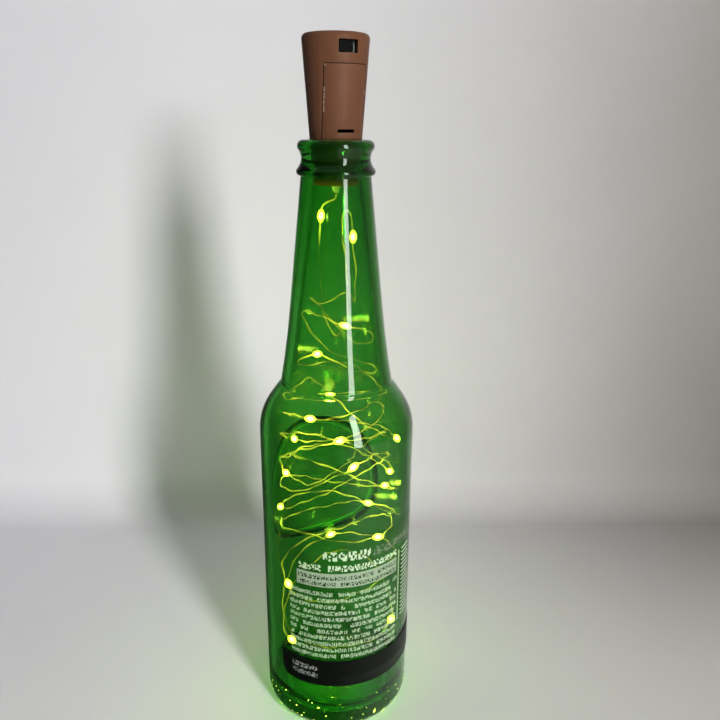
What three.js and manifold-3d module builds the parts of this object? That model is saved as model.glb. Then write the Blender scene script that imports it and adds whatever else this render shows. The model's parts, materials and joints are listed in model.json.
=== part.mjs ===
// Bottle table lamp: a green glass bottle lit from inside by a wire light string.
// The string hangs from a cork-shaped stopper that holds the cells, the switch and the board.
// Millimetres, +Z up. The origin is the centre of the foot that the bottle stands on.
// The stopper's switch and battery door face -Y, as does the printed back label.

import * as THREE from "three";
import { mergeVertices } from "three/addons/utils/BufferGeometryUtils.js";
import Module from "manifold-3d";

const wasm = await Module();
wasm.setup();

// Bottle body
const BOTTLE_HEIGHT = 228.6;
const BODY_RADIUS = 29.6;
const HEEL_ROUND = 6;
const BODY_WALL = 2.6;
const BASE_THICKNESS = 5;
const PUSH_UP = 4;
const FOOT_WIDTH = 3;
const INNER_HEEL_ROUND = 10;

// Shoulder and neck
const SHOULDER_BASE_HEIGHT = 122;
const SHOULDER_RISE = 9;
const NECK_BASE_HEIGHT = 141.5;
const NECK_BASE_RADIUS = 21;
const SHOULDER_REACH = 8;
const SHOULDER_SLOPE = THREE.MathUtils.degToRad(34);
const NECK_FLARE_HEIGHT = 170;
const NECK_FLARE_RADIUS = 17;
const NECK_TOP_RADIUS = 12.4;
const NECK_WALL = 2.8;

// Crown finish at the top of the neck
const LIP_RADIUS = 13.35;
const LIP_ROUND = 2.2;
const GROOVE_RADIUS = 12.05;
const RING_RADIUS = 13.85;
const RING_ROUND = 1.4;
const RING_DROP = 10.6;
const NECK_TOP_DROP = 13;
const MOUTH_RADIUS = 9.2;
const MOUTH_ROUND = 1;
const BORE_STEP = 0.75;
const BORE_TAPER_DEPTH = 12.6;
const BORE_DEPTH = 17.6;

// Labels
const LABEL_THICKNESS = 0.2;
const LABEL_GAP = 0.1;
const BACK_LABEL_WIDTH = 72;
const BACK_LABEL_BOTTOM = 23.3;
const BACK_LABEL_TOP_MARGIN = 30.7;
const BACK_LABEL_CORNER = 5;
const FRONT_LABEL_WIDTH = 66;
const FRONT_LABEL_HEIGHT = 56;
const FRONT_LABEL_TOP_MARGIN = 8;

// General clearances
const PART_GAP = 0.2;
const SEAT_CLEARANCE = 0.3;
const PARTING_GAP = 0.1;

// Stopper housing
const STOPPER_TAPER = 0.0735;
const STOPPER_INSERT = 15;
const STOPPER_TOP_ROUND = 1.6;
const HOUSING_WALL = 1.3;
const HOUSING_FLOOR = 1.5;
const HOUSING_CAP = 1.45;
const TONGUE_REACH = 0.8;
const TONGUE_THICKNESS = 0.55;
const SHELF_THICKNESS = 1.2;
const SHELF_FRONT = 3.5;
const BOARD_POST_RADIUS = 1;
const BOARD_POST_SPREAD = 9;

// Button cells, their spring and their contact strips
const CELL_COUNT = 3;
const CELL_RADIUS = 5.8;
const CELL_HEIGHT = 5.4;
const CELL_CAP_RADIUS = 4.8;
const CELL_CAP_HEIGHT = 0.6;
const CELL_EDGE = 0.4;
const BAY_FLOOR_RISE = 1.7;
const SPRING_TURNS = 2;
const SPRING_WIRE_RADIUS = 0.25;
const SPRING_FOOT_RADIUS = 3.6;
const SPRING_TOP_RADIUS = 2.2;
const SPRING_HEIGHT = 2.4;
const STRIP_THICKNESS = 0.3;
const STRIP_WIDTH = 2.4;
const STRIP_OFFSET = 0.65;
const STRIP_TAB_HEIGHT = 1;

// Battery door
const DOOR_WIDTH = 14.8;
const DOOR_THICKNESS = 1.2;
const DOOR_CLEARANCE = 0.2;
const DOOR_LIP_GAP = 0.15;
const DOOR_OVERLAP = 1.2;
const DOOR_RAIL_WIDTH = 1;
const DOOR_RAIL_SETBACK = 2;
const DOOR_RAIL_END = 2.2;
const SLOT_WIDTH = 6.1;
const SLOT_HEIGHT = 1.05;
const SLOT_RISE = 1.95;

// Circuit board and slide switch
const BOARD_HEIGHT = 7.2;
const BOARD_THICKNESS = 1;
const BOARD_HEADROOM = 0.6;
const RESISTOR_SIZE = new THREE.Vector3(3.2, 0.7, 1.6);
const SWITCH_SIZE = new THREE.Vector3(8.6, 3.4, 3.7);
const SWITCH_RISE = 4.8;
const SWITCH_TRAVEL = 1.5;
const KNOB_WIDTH = 4.8;
const KNOB_HEIGHT = 3.3;
const KNOB_CLEARANCE = 0.15;
const KNOB_HEADROOM = 0.3;
const STEM_WIDTH = 2;
const STEM_HEIGHT = 1.4;
const STEM_DEPTH = 1.2;

// Wire seal under the stopper, and the feed wire inside it
const SEAL_NECK_RADIUS = 1.2;
const SEAL_HOLE_CLEARANCE = 0.3;
const SEAL_FLANGE_RADIUS = 2.4;
const SEAL_FLANGE_HEIGHT = 0.8;
const SEAL_BOSS_RADIUS = 2.2;
const SEAL_TIP_RADIUS = 0.7;
const SEAL_BOSS_LENGTH = 3;
const FEED_WIRE_RADIUS = 0.35;
const FEED_WIRE_INSET = 0.95;
const FEED_HOLE_CLEARANCE = 0.5;
const FEED_WIRE_BEND = 2;

// Light string
const LED_COUNT = 20;
const LED_RADIUS = 1.3;
const LED_LENGTH = 4.6;
const LED_END_RADIUS = 0.75;
const LED_SHOULDER = 1.4;
const LED_CLEARANCE = 0.12;
const WIRE_RADIUS = 0.3;
const WIRE_END_GAP = 0.3;
const LOOP_START_ANGLE = THREE.MathUtils.degToRad(-20);
const LOOP_WAVE_HEIGHT = 1.9;
const LOOP_WAVES_PER_TURN = 2.3;
const LOOP_SWAY = 2.2;
const LOOP_SWAYS_PER_TURN = 2.12;
const LOOP_END_SHORT = 0.375;

// Steps of the string: its lights lie a fixed count of wire steps apart
const STEPS_PER_LED = 16;
const FIRST_LED_STEP = 1;
const LEAD_STEPS = 22;
const LOOP_STEPS = 24;

// Facets
const BOTTLE_SEGMENTS = 40;
const STOPPER_SEGMENTS = 48;
const CELL_SEGMENTS = 24;
const SEAL_SEGMENTS = 16;
const BAR_SEGMENTS = 12;
const LED_SEGMENTS = 8;
const LABEL_COLUMNS = 24;
const WIRE_SIDES = 6;
const SPRING_SIDES = 5;
const SPRING_TURN_STEPS = 8;
const FEED_WIRE_STEPS = 40;
const SHOULDER_STEPS = 9;
const FLARE_STEPS = 3;
const ROUND_STEPS = 5;
const SMALL_ROUND_STEPS = 3;

// Cutters reach past what they cut, and vertices closer than the weld are one
const CUT_PAST = 1;
const WELD = 1e-4;

// Lead from the stopper: x, y and the drop below the wire's exit, chosen by hand.
// It passes the first light, dips into the neck, rises to the second light and falls to the loops.
const LEAD_POINTS = [
  [0, 0, 0],
  [-0.3, 0.1, 1.3],
  [-2.7, 0.6, 2.2],
  [-4.7, 1.2, 3.6],
  [-5.3, 1.6, 8],
  [-5.6, 2.2, 20],
  [-4.8, 2.6, 35],
  [-2.4, 2.4, 48],
  [0.6, 1.9, 52],
  [3.2, 0.8, 48],
  [4.4, -0.6, 37],
  [3.2, -1.2, 24],
  [1.7, -1.4, 13],
  [1.5, -2.0, 8.5],
  [2.7, -3.2, 5.4],
  [4.2, -3.9, 7.6],
  [4.7, -3.8, 12.5],
  [5.4, -3.4, 20],
  [6.3, -2.8, 30],
];

// Loops of the string, one row a turn, chosen by hand: height of the turn's middle,
// rise of its high side, direction of the high side in degrees, and inset from the glass.
// The last turn stops short by a share of a turn.
const LOOP_ROWS = [
  [173, 0, 157, 6.6],
  [165, 8, 157, 1.7],
  [151, 8, 190, 1.7],
  [138, 12, 250, 1.7],
  [127, 14, 200, 1.7],
  [120, 15, 280, 5],
  [113, 14, 205, 1.7],
  [108, 17, 290, 6],
  [102, 15, 210, 1.7],
  [97, 17, 300, 6],
  [89, 13, 230, 1.7],
  [74, 10, 285, 4],
  [58, 9, 345, 1.7],
  [42, 8, 55, 1.7],
  [30, 5, 115, 1.7],
];

// Heights and radii that follow from the sizes above
const far = 2 * BODY_RADIUS;
const innerRadius = BODY_RADIUS - BODY_WALL;
const seatHeight = BOTTLE_HEIGHT - MOUTH_ROUND;
const seatRadius = MOUTH_RADIUS - SEAT_CLEARANCE;
const boreRadius = MOUTH_RADIUS - BORE_STEP;
const stopperBottom = BOTTLE_HEIGHT - STOPPER_INSERT;
const housingFloorTop = stopperBottom + HOUSING_FLOOR;
const bayFloor = BOTTLE_HEIGHT + BAY_FLOOR_RISE;
const springFoot = bayFloor + STRIP_THICKNESS + 2 * PART_GAP;
const cellsBottom = springFoot + SPRING_HEIGHT + PART_GAP;
const cellsTop = cellsBottom + CELL_COUNT * CELL_HEIGHT + (CELL_COUNT - 1) * PART_GAP;
const topContact = cellsTop + PART_GAP;
const bayCeiling = topContact + STRIP_THICKNESS + PART_GAP;
const shelfTop = bayCeiling + SHELF_THICKNESS;
const boardBottom = shelfTop + PART_GAP;
const boardTop = boardBottom + BOARD_HEIGHT;
const housingCapUnder = boardTop + BOARD_HEADROOM;
const stopperTop = housingCapUnder + HOUSING_CAP;
const doorBottom = BOTTLE_HEIGHT + DOOR_LIP_GAP;
const doorTop = bayCeiling + DOOR_OVERLAP;
const switchHeight = boardBottom + SWITCH_RISE;
const windowWidth = KNOB_WIDTH + SWITCH_TRAVEL + 2 * KNOB_CLEARANCE;
const stripX = CELL_RADIUS + STRIP_OFFSET;
const wireExit = stopperBottom - PART_GAP - SEAL_BOSS_LENGTH - WIRE_END_GAP;
const stringSteps = FIRST_LED_STEP + (LED_COUNT - 1) * STEPS_PER_LED + 1;

// Radius of the stopper's outside at a height
function stopperRadius(height) {
  return seatRadius + STOPPER_TAPER * (height - seatHeight);
}

// Radius of the housing's inside at a height
function cavityRadius(height) {
  return stopperRadius(height) - HOUSING_WALL;
}

// Distance in front of the axis where a circle reaches a given half width
function frontOf(radius, halfWidth) {
  return Math.sqrt(radius ** 2 - halfWidth ** 2);
}

// Switch and board places, measured back from the housing's inner wall
const switchFront = frontOf(cavityRadius(switchHeight - SWITCH_SIZE.z / 2), SWITCH_SIZE.x / 2) - PART_GAP;
const boardFront = switchFront - SWITCH_SIZE.y - PART_GAP / 2;
const boardBack = boardFront - BOARD_THICKNESS;
const boardHalf = frontOf(cavityRadius(boardBottom) - PART_GAP, boardFront);
const knobFront = frontOf(stopperRadius(switchHeight), windowWidth / 2);

// A closed mesh as a solid for cutting and joining, without the slivers that lie on the axis
function solidOf(geometry) {
  const bare = geometry.clone();
  bare.deleteAttribute("normal");
  bare.deleteAttribute("uv");
  const merged = mergeVertices(bare, WELD);
  const triangles = [];
  for (let i = 0; i < merged.index.count; i += 3) {
    const [a, b, c] = [0, 1, 2].map((k) => merged.index.getX(i + k));
    if (a !== b && b !== c && c !== a) triangles.push(a, b, c);
  }
  return new wasm.Manifold(
    new wasm.Mesh({
      numProp: 3,
      vertProperties: new Float32Array(merged.attributes.position.array),
      triVerts: new Uint32Array(triangles),
    }),
  );
}

// A solid's surface as a geometry
function geometryOf(solid) {
  const mesh = solid.getMesh();
  const geometry = new THREE.BufferGeometry();
  geometry.setAttribute("position", new THREE.BufferAttribute(mesh.vertProperties, 3));
  geometry.setIndex(new THREE.BufferAttribute(mesh.triVerts, 1));
  geometry.computeVertexNormals();
  return geometry;
}

// A box given by its lowest and highest corner
function box(low, high) {
  const size = high.map((v, i) => v - low[i]);
  const middle = high.map((v, i) => (v + low[i]) / 2);
  return solidOf(new THREE.BoxGeometry(...size).translate(...middle));
}

// A profile of radius and height turned about the Z axis
function turned(profile, segments) {
  const points = profile.map(([r, z]) => new THREE.Vector2(r, z));
  return new THREE.LatheGeometry(points, segments).rotateX(Math.PI / 2);
}

// A round bar along Z between two heights
function uprightBar(x, y, radius, bottom, top) {
  const bar = turned([[0, bottom], [radius, bottom], [radius, top], [0, top]], BAR_SEGMENTS);
  return solidOf(bar.translate(x, y, 0));
}

// Points of a curve as radius and height pairs
function traced(curve, steps) {
  return curve.getPoints(steps).map((p) => [p.x, p.y]);
}

// A quarter or part of an ellipse in the profile plane
function arc(x, y, radiusX, radiusY, from, to) {
  return new THREE.EllipseCurve(x, y, radiusX, radiusY, from, to, from > to);
}

// A tube of constant radius along a row of points, closed at both ends.
// Each ring stands square to the mean direction, and the rings keep their turn along the way.
function tube(points, radius, sides) {
  const last = points.length - 1;
  const tangents = points.map((p, i) =>
    points[Math.min(i + 1, last)].clone().sub(points[Math.max(i - 1, 0)]).normalize(),
  );
  const upright = Math.abs(tangents[0].z) < 0.9 ? new THREE.Vector3(0, 0, 1) : new THREE.Vector3(1, 0, 0);
  let side = new THREE.Vector3().crossVectors(tangents[0], upright).normalize();
  const positions = [];
  points.forEach((p, i) => {
    side = side.sub(tangents[i].clone().multiplyScalar(side.dot(tangents[i]))).normalize();
    const other = new THREE.Vector3().crossVectors(tangents[i], side);
    for (let k = 0; k < sides; k++) {
      const a = (2 * Math.PI * k) / sides;
      const out = side.clone().multiplyScalar(Math.cos(a)).addScaledVector(other, Math.sin(a));
      positions.push(...p.clone().addScaledVector(out, radius));
    }
  });
  const index = [];
  for (let i = 0; i < last; i++) {
    for (let k = 0; k < sides; k++) {
      const a = i * sides + k;
      const b = i * sides + ((k + 1) % sides);
      index.push(a, b, b + sides, a, b + sides, a + sides);
    }
  }
  for (let k = 1; k < sides - 1; k++) {
    index.push(0, k + 1, k);
    index.push(last * sides, last * sides + k, last * sides + k + 1);
  }
  const geometry = new THREE.BufferGeometry();
  geometry.setAttribute("position", new THREE.Float32BufferAttribute(positions, 3));
  geometry.setIndex(index);
  geometry.computeVertexNormals();
  return geometry;
}

// Least gap between two stretches of a wire that are over four diameters apart along it
function leastGap(points, radius) {
  const spacing = points[0].distanceTo(points[1]);
  const skip = Math.ceil((4 * 2 * radius) / spacing);
  let least = Infinity;
  points.forEach((p, i) => {
    for (let k = i + skip; k < points.length; k++) least = Math.min(least, p.distanceTo(points[k]));
  });
  return least - 2 * radius;
}

// Outside of the bottle, from the middle of the push-up to the top of the lip
function outerProfile() {
  const footOuter = BODY_RADIUS - HEEL_ROUND;
  const footInner = footOuter - FOOT_WIDTH;
  const ringHeight = BOTTLE_HEIGHT - RING_DROP;
  const ring = arc(RING_RADIUS - RING_ROUND, ringHeight, RING_ROUND, RING_ROUND, -Math.PI / 2, Math.PI / 4);
  const lipHeight = BOTTLE_HEIGHT - LIP_ROUND;
  const lip = arc(LIP_RADIUS - LIP_ROUND, lipHeight, LIP_ROUND, LIP_ROUND, -Math.PI / 4, Math.PI / 2);
  const ringEnd = ring.getPoint(1);
  const lipStart = lip.getPoint(0);
  const groove = new THREE.QuadraticBezierCurve(
    ringEnd,
    new THREE.Vector2(2 * GROOVE_RADIUS - (ringEnd.x + lipStart.x) / 2, (ringEnd.y + lipStart.y) / 2),
    lipStart,
  );
  return [
    ...traced(pushUpCurve(footInner, 0), ROUND_STEPS),
    ...traced(arc(footOuter, HEEL_ROUND, HEEL_ROUND, HEEL_ROUND, -Math.PI / 2, 0), ROUND_STEPS),
    ...traced(shoulderCurve(0), SHOULDER_STEPS),
    ...traced(flareCurve(0), FLARE_STEPS).slice(1),
    [NECK_TOP_RADIUS, BOTTLE_HEIGHT - NECK_TOP_DROP],
    ...traced(ring, ROUND_STEPS),
    ...traced(groove, ROUND_STEPS).slice(1),
    ...traced(lip, ROUND_STEPS).slice(1),
  ];
}

// Inside of the bottle, from the mouth down to the middle of the base
function insideProfile() {
  const mouth = arc(MOUTH_RADIUS + MOUTH_ROUND, seatHeight, MOUTH_ROUND, MOUTH_ROUND, Math.PI / 2, Math.PI);
  const heelX = innerRadius - INNER_HEEL_ROUND;
  const heelZ = BASE_THICKNESS + INNER_HEEL_ROUND;
  return [
    ...traced(mouth, SMALL_ROUND_STEPS),
    [boreRadius, BOTTLE_HEIGHT - BORE_TAPER_DEPTH],
    [boreRadius, BOTTLE_HEIGHT - BORE_DEPTH],
    ...traced(flareCurve(NECK_WALL), FLARE_STEPS).reverse(),
    ...traced(shoulderCurve(BODY_WALL), SHOULDER_STEPS).reverse().slice(1),
    ...traced(arc(heelX, heelZ, INNER_HEEL_ROUND, INNER_HEEL_ROUND, 0, -Math.PI / 2), ROUND_STEPS),
    ...traced(pushUpCurve(heelX, BASE_THICKNESS), ROUND_STEPS).reverse().slice(1),
  ];
}

// Push-up of the base from its middle to its edge, level at both, for the outside or the inside
function pushUpCurve(radius, height) {
  return new THREE.CubicBezierCurve(
    new THREE.Vector2(0, height + PUSH_UP),
    new THREE.Vector2(radius / 2, height + PUSH_UP),
    new THREE.Vector2(radius / 2, height),
    new THREE.Vector2(radius, height),
  );
}

// Shoulder from the straight body to the foot of the neck, set in by a wall
function shoulderCurve(wall) {
  const neckWall = wall ? NECK_WALL : 0;
  const neckFoot = new THREE.Vector2(NECK_BASE_RADIUS - neckWall, NECK_BASE_HEIGHT);
  const lean = new THREE.Vector2(Math.sin(SHOULDER_SLOPE), -Math.cos(SHOULDER_SLOPE));
  return new THREE.CubicBezierCurve(
    new THREE.Vector2(BODY_RADIUS - wall, SHOULDER_BASE_HEIGHT),
    new THREE.Vector2(BODY_RADIUS - wall, SHOULDER_BASE_HEIGHT + SHOULDER_RISE),
    neckFoot.clone().addScaledVector(lean, SHOULDER_REACH),
    neckFoot,
  );
}

// Flare at the foot of the neck, which meets the straight neck without a corner
function flareCurve(wall) {
  const top = new THREE.Vector2(NECK_FLARE_RADIUS - wall, NECK_FLARE_HEIGHT);
  const neckRise = BOTTLE_HEIGHT - NECK_TOP_DROP - NECK_FLARE_HEIGHT;
  const slope = (NECK_FLARE_RADIUS - NECK_TOP_RADIUS) / neckRise;
  const middle = (NECK_FLARE_HEIGHT + NECK_BASE_HEIGHT) / 2;
  return new THREE.QuadraticBezierCurve(
    new THREE.Vector2(NECK_BASE_RADIUS - wall, NECK_BASE_HEIGHT),
    new THREE.Vector2(top.x + slope * (NECK_FLARE_HEIGHT - middle), middle),
    top,
  );
}

// Radius of the bottle's inside at a height above the base
function glassInside(height) {
  const wall = insideProfile();
  for (let i = 1; i < wall.length; i++) {
    const [r0, z0] = wall[i - 1];
    const [r1, z1] = wall[i];
    if (z0 >= height && height >= z1 && z0 > z1) return r0 + ((r1 - r0) * (z0 - height)) / (z0 - z1);
  }
  return innerRadius;
}

function bottle() {
  return turned([...outerProfile(), ...insideProfile()], BOTTLE_SEGMENTS);
}

// A thin label bent round the bottle: columns across its width, each from a low to a high edge.
// Direction 0 faces -Y, and the angle grows towards +X.
function label(width, edges, direction) {
  const inner = BODY_RADIUS + LABEL_GAP;
  const outer = inner + LABEL_THICKNESS;
  const positions = [];
  const index = [];
  for (let i = 0; i <= LABEL_COLUMNS; i++) {
    const across = (-width / 2) * Math.cos((Math.PI * (i + 0.5)) / (LABEL_COLUMNS + 1));
    const angle = direction + across / BODY_RADIUS;
    const [low, high] = edges(across);
    for (const [r, z] of [[outer, low], [outer, high], [inner, high], [inner, low]]) {
      positions.push(r * Math.sin(angle), -r * Math.cos(angle), z);
    }
  }
  for (let i = 0; i < LABEL_COLUMNS; i++) {
    for (let k = 0; k < 4; k++) {
      const a = 4 * i + k;
      const b = 4 * i + ((k + 1) % 4);
      index.push(a, a + 4, b + 4, a, b + 4, b);
    }
  }
  const end = 4 * LABEL_COLUMNS;
  index.push(0, 1, 2, 0, 2, 3, end, end + 2, end + 1, end, end + 3, end + 2);
  const geometry = new THREE.BufferGeometry();
  geometry.setAttribute("position", new THREE.Float32BufferAttribute(positions, 3));
  geometry.setIndex(index);
  geometry.computeVertexNormals();
  return geometry;
}

// Back label: a tall rectangle with round lower corners
function backLabel() {
  const flat = BACK_LABEL_WIDTH / 2 - BACK_LABEL_CORNER;
  return label(
    BACK_LABEL_WIDTH,
    (across) => {
      const into = Math.max(Math.abs(across) - flat, 0);
      const lift = BACK_LABEL_CORNER - Math.sqrt(BACK_LABEL_CORNER ** 2 - into ** 2);
      return [BACK_LABEL_BOTTOM + lift, SHOULDER_BASE_HEIGHT - BACK_LABEL_TOP_MARGIN];
    },
    0,
  );
}

// Front label: a plain oval on the far side
function frontLabel() {
  const centre = SHOULDER_BASE_HEIGHT - FRONT_LABEL_TOP_MARGIN - FRONT_LABEL_HEIGHT / 2;
  return label(
    FRONT_LABEL_WIDTH,
    (across) => {
      const half = (FRONT_LABEL_HEIGHT / 2) * Math.sqrt(1 - ((2 * across) / FRONT_LABEL_WIDTH) ** 2);
      return [centre - half, centre + half];
    },
    Math.PI,
  );
}

// The stopper's outside as one solid cork
function cork() {
  const edge = stopperTop - STOPPER_TOP_ROUND;
  const round = STOPPER_TOP_ROUND;
  const topEdge = arc(stopperRadius(edge) - round, edge, round, round, 0, Math.PI / 2);
  const profile = [
    [0, stopperBottom],
    [stopperRadius(stopperBottom), stopperBottom],
    ...traced(topEdge, ROUND_STEPS),
    [0, stopperTop],
  ];
  return solidOf(turned(profile, STOPPER_SEGMENTS));
}

// A cone that runs parallel to the stopper's outside between two heights, set in by a depth
function coneWithin(depth, bottom, top) {
  const cone = [
    [0, bottom],
    [stopperRadius(bottom) - depth, bottom],
    [stopperRadius(top) - depth, top],
    [0, top],
  ];
  return solidOf(turned(cone, STOPPER_SEGMENTS));
}

// Hollow cork with its floor, its cap and the hole for the wire seal
function housing() {
  const hole = SEAL_NECK_RADIUS + SEAL_HOLE_CLEARANCE;
  return cork()
    .subtract(coneWithin(HOUSING_WALL, housingFloorTop, housingCapUnder))
    .subtract(uprightBar(0, 0, hole, stopperBottom - CUT_PAST, housingFloorTop + CUT_PAST));
}

// Ring of wall that the tongue takes up, or, with room around it, the groove for it
function tongueRing(room) {
  const inner = HOUSING_WALL - TONGUE_THICKNESS - room;
  const bottom = housingFloorTop - room;
  const top = housingCapUnder + room;
  const hollow = coneWithin(HOUSING_WALL + room, bottom - CUT_PAST, top + CUT_PAST);
  return coneWithin(inner, bottom, top).subtract(hollow);
}

// A half of space, cut off at a distance in front of the axis
function behind(front) {
  return box([-far, -front, stopperBottom - far], [far, far, stopperTop + far]);
}

// Shelf across the housing, clear of the front shell
function shelf(bottom, top) {
  const inRear = coneWithin(HOUSING_WALL / 2, bottom, top).intersect(behind(-PARTING_GAP / 2));
  const inFront = coneWithin(HOUSING_WALL + SEAT_CLEARANCE, bottom, top).intersect(behind(SHELF_FRONT));
  return inRear.add(inFront);
}

// Where the feed wire runs between the cells and the rear wall
function feedWireBack(height) {
  return cavityRadius(height) - FEED_WIRE_INSET;
}

function rearShell() {
  const tongue = tongueRing(0)
    .intersect(behind(TONGUE_REACH))
    .subtract(behind(-HOUSING_WALL));
  const lowerShelf = shelf(bayFloor - SHELF_THICKNESS, bayFloor);
  const upperShelf = shelf(bayCeiling, shelfTop);
  let shell = housing().intersect(behind(-PARTING_GAP / 2)).add(tongue).add(lowerShelf).add(upperShelf);
  for (const side of [-1, 1]) {
    const post = new THREE.CylinderGeometry(
      BOARD_POST_RADIUS,
      BOARD_POST_RADIUS,
      boardBack + cavityRadius(boardBottom) - PART_GAP,
      BAR_SEGMENTS,
    );
    const middle = (cavityRadius(boardBottom) - boardBack + PART_GAP) / 2;
    shell = shell.add(solidOf(post.translate((side * BOARD_POST_SPREAD) / 2, middle, switchHeight)));
    const slotLow = [side * stripX - STRIP_OFFSET, -STRIP_WIDTH / 2 - PART_GAP, bayCeiling - CUT_PAST];
    const slotHigh = [side * stripX + STRIP_OFFSET, STRIP_WIDTH / 2 + PART_GAP, shelfTop + CUT_PAST];
    shell = shell.subtract(box(slotLow, slotHigh));
  }
  for (const top of [bayFloor, shelfTop]) {
    const radius = FEED_WIRE_RADIUS + FEED_HOLE_CLEARANCE;
    const bottom = top - SHELF_THICKNESS;
    shell = shell.subtract(uprightBar(0, feedWireBack(top), radius, bottom - CUT_PAST, top + CUT_PAST));
  }
  return geometryOf(shell);
}

function frontShell() {
  const windowHalf = windowWidth / 2;
  const windowLow = switchHeight - KNOB_HEIGHT / 2 - KNOB_HEADROOM;
  const windowHigh = switchHeight + KNOB_HEIGHT / 2 + KNOB_HEADROOM;
  const shell = housing()
    .subtract(behind(PARTING_GAP / 2))
    .subtract(tongueRing(PARTING_GAP).intersect(behind(TONGUE_REACH + PARTING_GAP)))
    .subtract(box([-windowHalf, -far, windowLow], [windowHalf, 0, windowHigh]))
    .subtract(box([-DOOR_WIDTH / 2, -far, doorBottom], [DOOR_WIDTH / 2, 0, doorTop]));
  return geometryOf(shell);
}

function batteryDoor() {
  const half = DOOR_WIDTH / 2 - DOOR_CLEARANCE;
  const low = doorBottom + DOOR_CLEARANCE;
  const high = doorTop - DOOR_CLEARANCE;
  const hollow = coneWithin(DOOR_THICKNESS, low - CUT_PAST, high + CUT_PAST);
  const skin = coneWithin(0, low, high).subtract(hollow);
  let door = skin.intersect(box([-half, -far, low], [half, 0, high]));
  const railLow = low + DOOR_RAIL_SETBACK;
  const railHigh = high - DOOR_RAIL_SETBACK;
  const railed = coneWithin(DOOR_THICKNESS / 2, railLow, railHigh);
  for (const [from, to] of [[-half, DOOR_RAIL_WIDTH - half], [half - DOOR_RAIL_WIDTH, half]]) {
    door = door.add(railed.intersect(box([from, -far, railLow], [to, -DOOR_RAIL_END, railHigh])));
  }
  const slotLow = [-SLOT_WIDTH / 2, -far, low + SLOT_RISE];
  const slotHigh = [SLOT_WIDTH / 2, 0, low + SLOT_RISE + SLOT_HEIGHT];
  return geometryOf(door.subtract(box(slotLow, slotHigh)));
}

function circuitBoard() {
  return geometryOf(box([-boardHalf, -boardFront, boardBottom], [boardHalf, -boardBack, boardTop]));
}

function resistor() {
  const { x, y, z } = RESISTOR_SIZE;
  const back = -boardBack + PART_GAP / 2;
  return geometryOf(box([-x / 2, back, switchHeight - z / 2], [x / 2, back + y, switchHeight + z / 2]));
}

// Switch case with the slot that the slider's stem runs in
function switchBody() {
  const half = SWITCH_SIZE.clone().divideScalar(2);
  const slotHalf = (STEM_WIDTH + SWITCH_TRAVEL) / 2 + KNOB_CLEARANCE;
  const slotTall = STEM_HEIGHT / 2 + KNOB_CLEARANCE;
  const front = -switchFront;
  const body = box(
    [-half.x, front, switchHeight - half.z],
    [half.x, front + SWITCH_SIZE.y, switchHeight + half.z],
  );
  const slot = box(
    [-slotHalf, front - CUT_PAST, switchHeight - slotTall],
    [slotHalf, front + STEM_DEPTH + KNOB_CLEARANCE, switchHeight + slotTall],
  );
  return geometryOf(body.subtract(slot));
}

// Slider at the left end of its travel: the knob in the window and the stem in the case
function switchSlider() {
  const middle = -SWITCH_TRAVEL / 2;
  const knob = box(
    [middle - KNOB_WIDTH / 2, -knobFront, switchHeight - KNOB_HEIGHT / 2],
    [middle + KNOB_WIDTH / 2, -switchFront - PART_GAP, switchHeight + KNOB_HEIGHT / 2],
  );
  const stem = box(
    [middle - STEM_WIDTH / 2, -switchFront - 2 * PART_GAP, switchHeight - STEM_HEIGHT / 2],
    [middle + STEM_WIDTH / 2, -switchFront + STEM_DEPTH, switchHeight + STEM_HEIGHT / 2],
  );
  return geometryOf(knob.add(stem));
}

// Button cell with its wide can above and its narrower cap below
function cell() {
  const can = CELL_HEIGHT - CELL_CAP_HEIGHT;
  return turned(
    [
      [0, 0],
      [CELL_CAP_RADIUS, 0],
      [CELL_CAP_RADIUS, CELL_CAP_HEIGHT],
      [CELL_RADIUS - CELL_EDGE, CELL_CAP_HEIGHT],
      [CELL_RADIUS, CELL_CAP_HEIGHT + CELL_EDGE],
      [CELL_RADIUS, CELL_CAP_HEIGHT + can - CELL_EDGE],
      [CELL_RADIUS - CELL_EDGE, CELL_HEIGHT],
      [0, CELL_HEIGHT],
    ],
    CELL_SEGMENTS,
  );
}

// Conical spring under the cells, as one unbroken wire
function contactSpring() {
  const points = [];
  const steps = SPRING_TURNS * SPRING_TURN_STEPS;
  const rise = SPRING_HEIGHT - 2 * SPRING_WIRE_RADIUS;
  for (let i = 0; i <= steps; i++) {
    const share = i / steps;
    const a = 2 * Math.PI * SPRING_TURNS * share;
    const r = SPRING_FOOT_RADIUS + (SPRING_TOP_RADIUS - SPRING_FOOT_RADIUS) * share;
    points.push(new THREE.Vector3(r * Math.cos(a), r * Math.sin(a), SPRING_WIRE_RADIUS + rise * share));
  }
  console.log("contact spring, least gap mm:", leastGap(points, SPRING_WIRE_RADIUS).toFixed(2));
  return tube(points, SPRING_WIRE_RADIUS, SPRING_SIDES).translate(0, 0, springFoot);
}

// Contact strip: a foot across the bay, a riser beside the cells and a tab to the board
function contactStrip(side, height) {
  const half = STRIP_WIDTH / 2;
  const outerX = side * (stripX + STRIP_THICKNESS / 2);
  const innerX = side * (stripX - STRIP_THICKNESS / 2);
  const footX = -side * SPRING_FOOT_RADIUS;
  const span = (a, b) => [Math.min(a, b), Math.max(a, b)];
  const [footLow, footHigh] = span(footX, outerX);
  const [riserLow, riserHigh] = span(innerX, outerX);
  const tabTop = boardBottom + 2 * STRIP_TAB_HEIGHT;
  const foot = box([footLow, -half, height], [footHigh, half, height + STRIP_THICKNESS]);
  const riser = box([riserLow, -half, height], [riserHigh, half, tabTop]);
  const tab = box([riserLow, -boardBack + PART_GAP, tabTop - STRIP_TAB_HEIGHT], [riserHigh, half, tabTop]);
  return geometryOf(foot.add(riser).add(tab));
}

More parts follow.
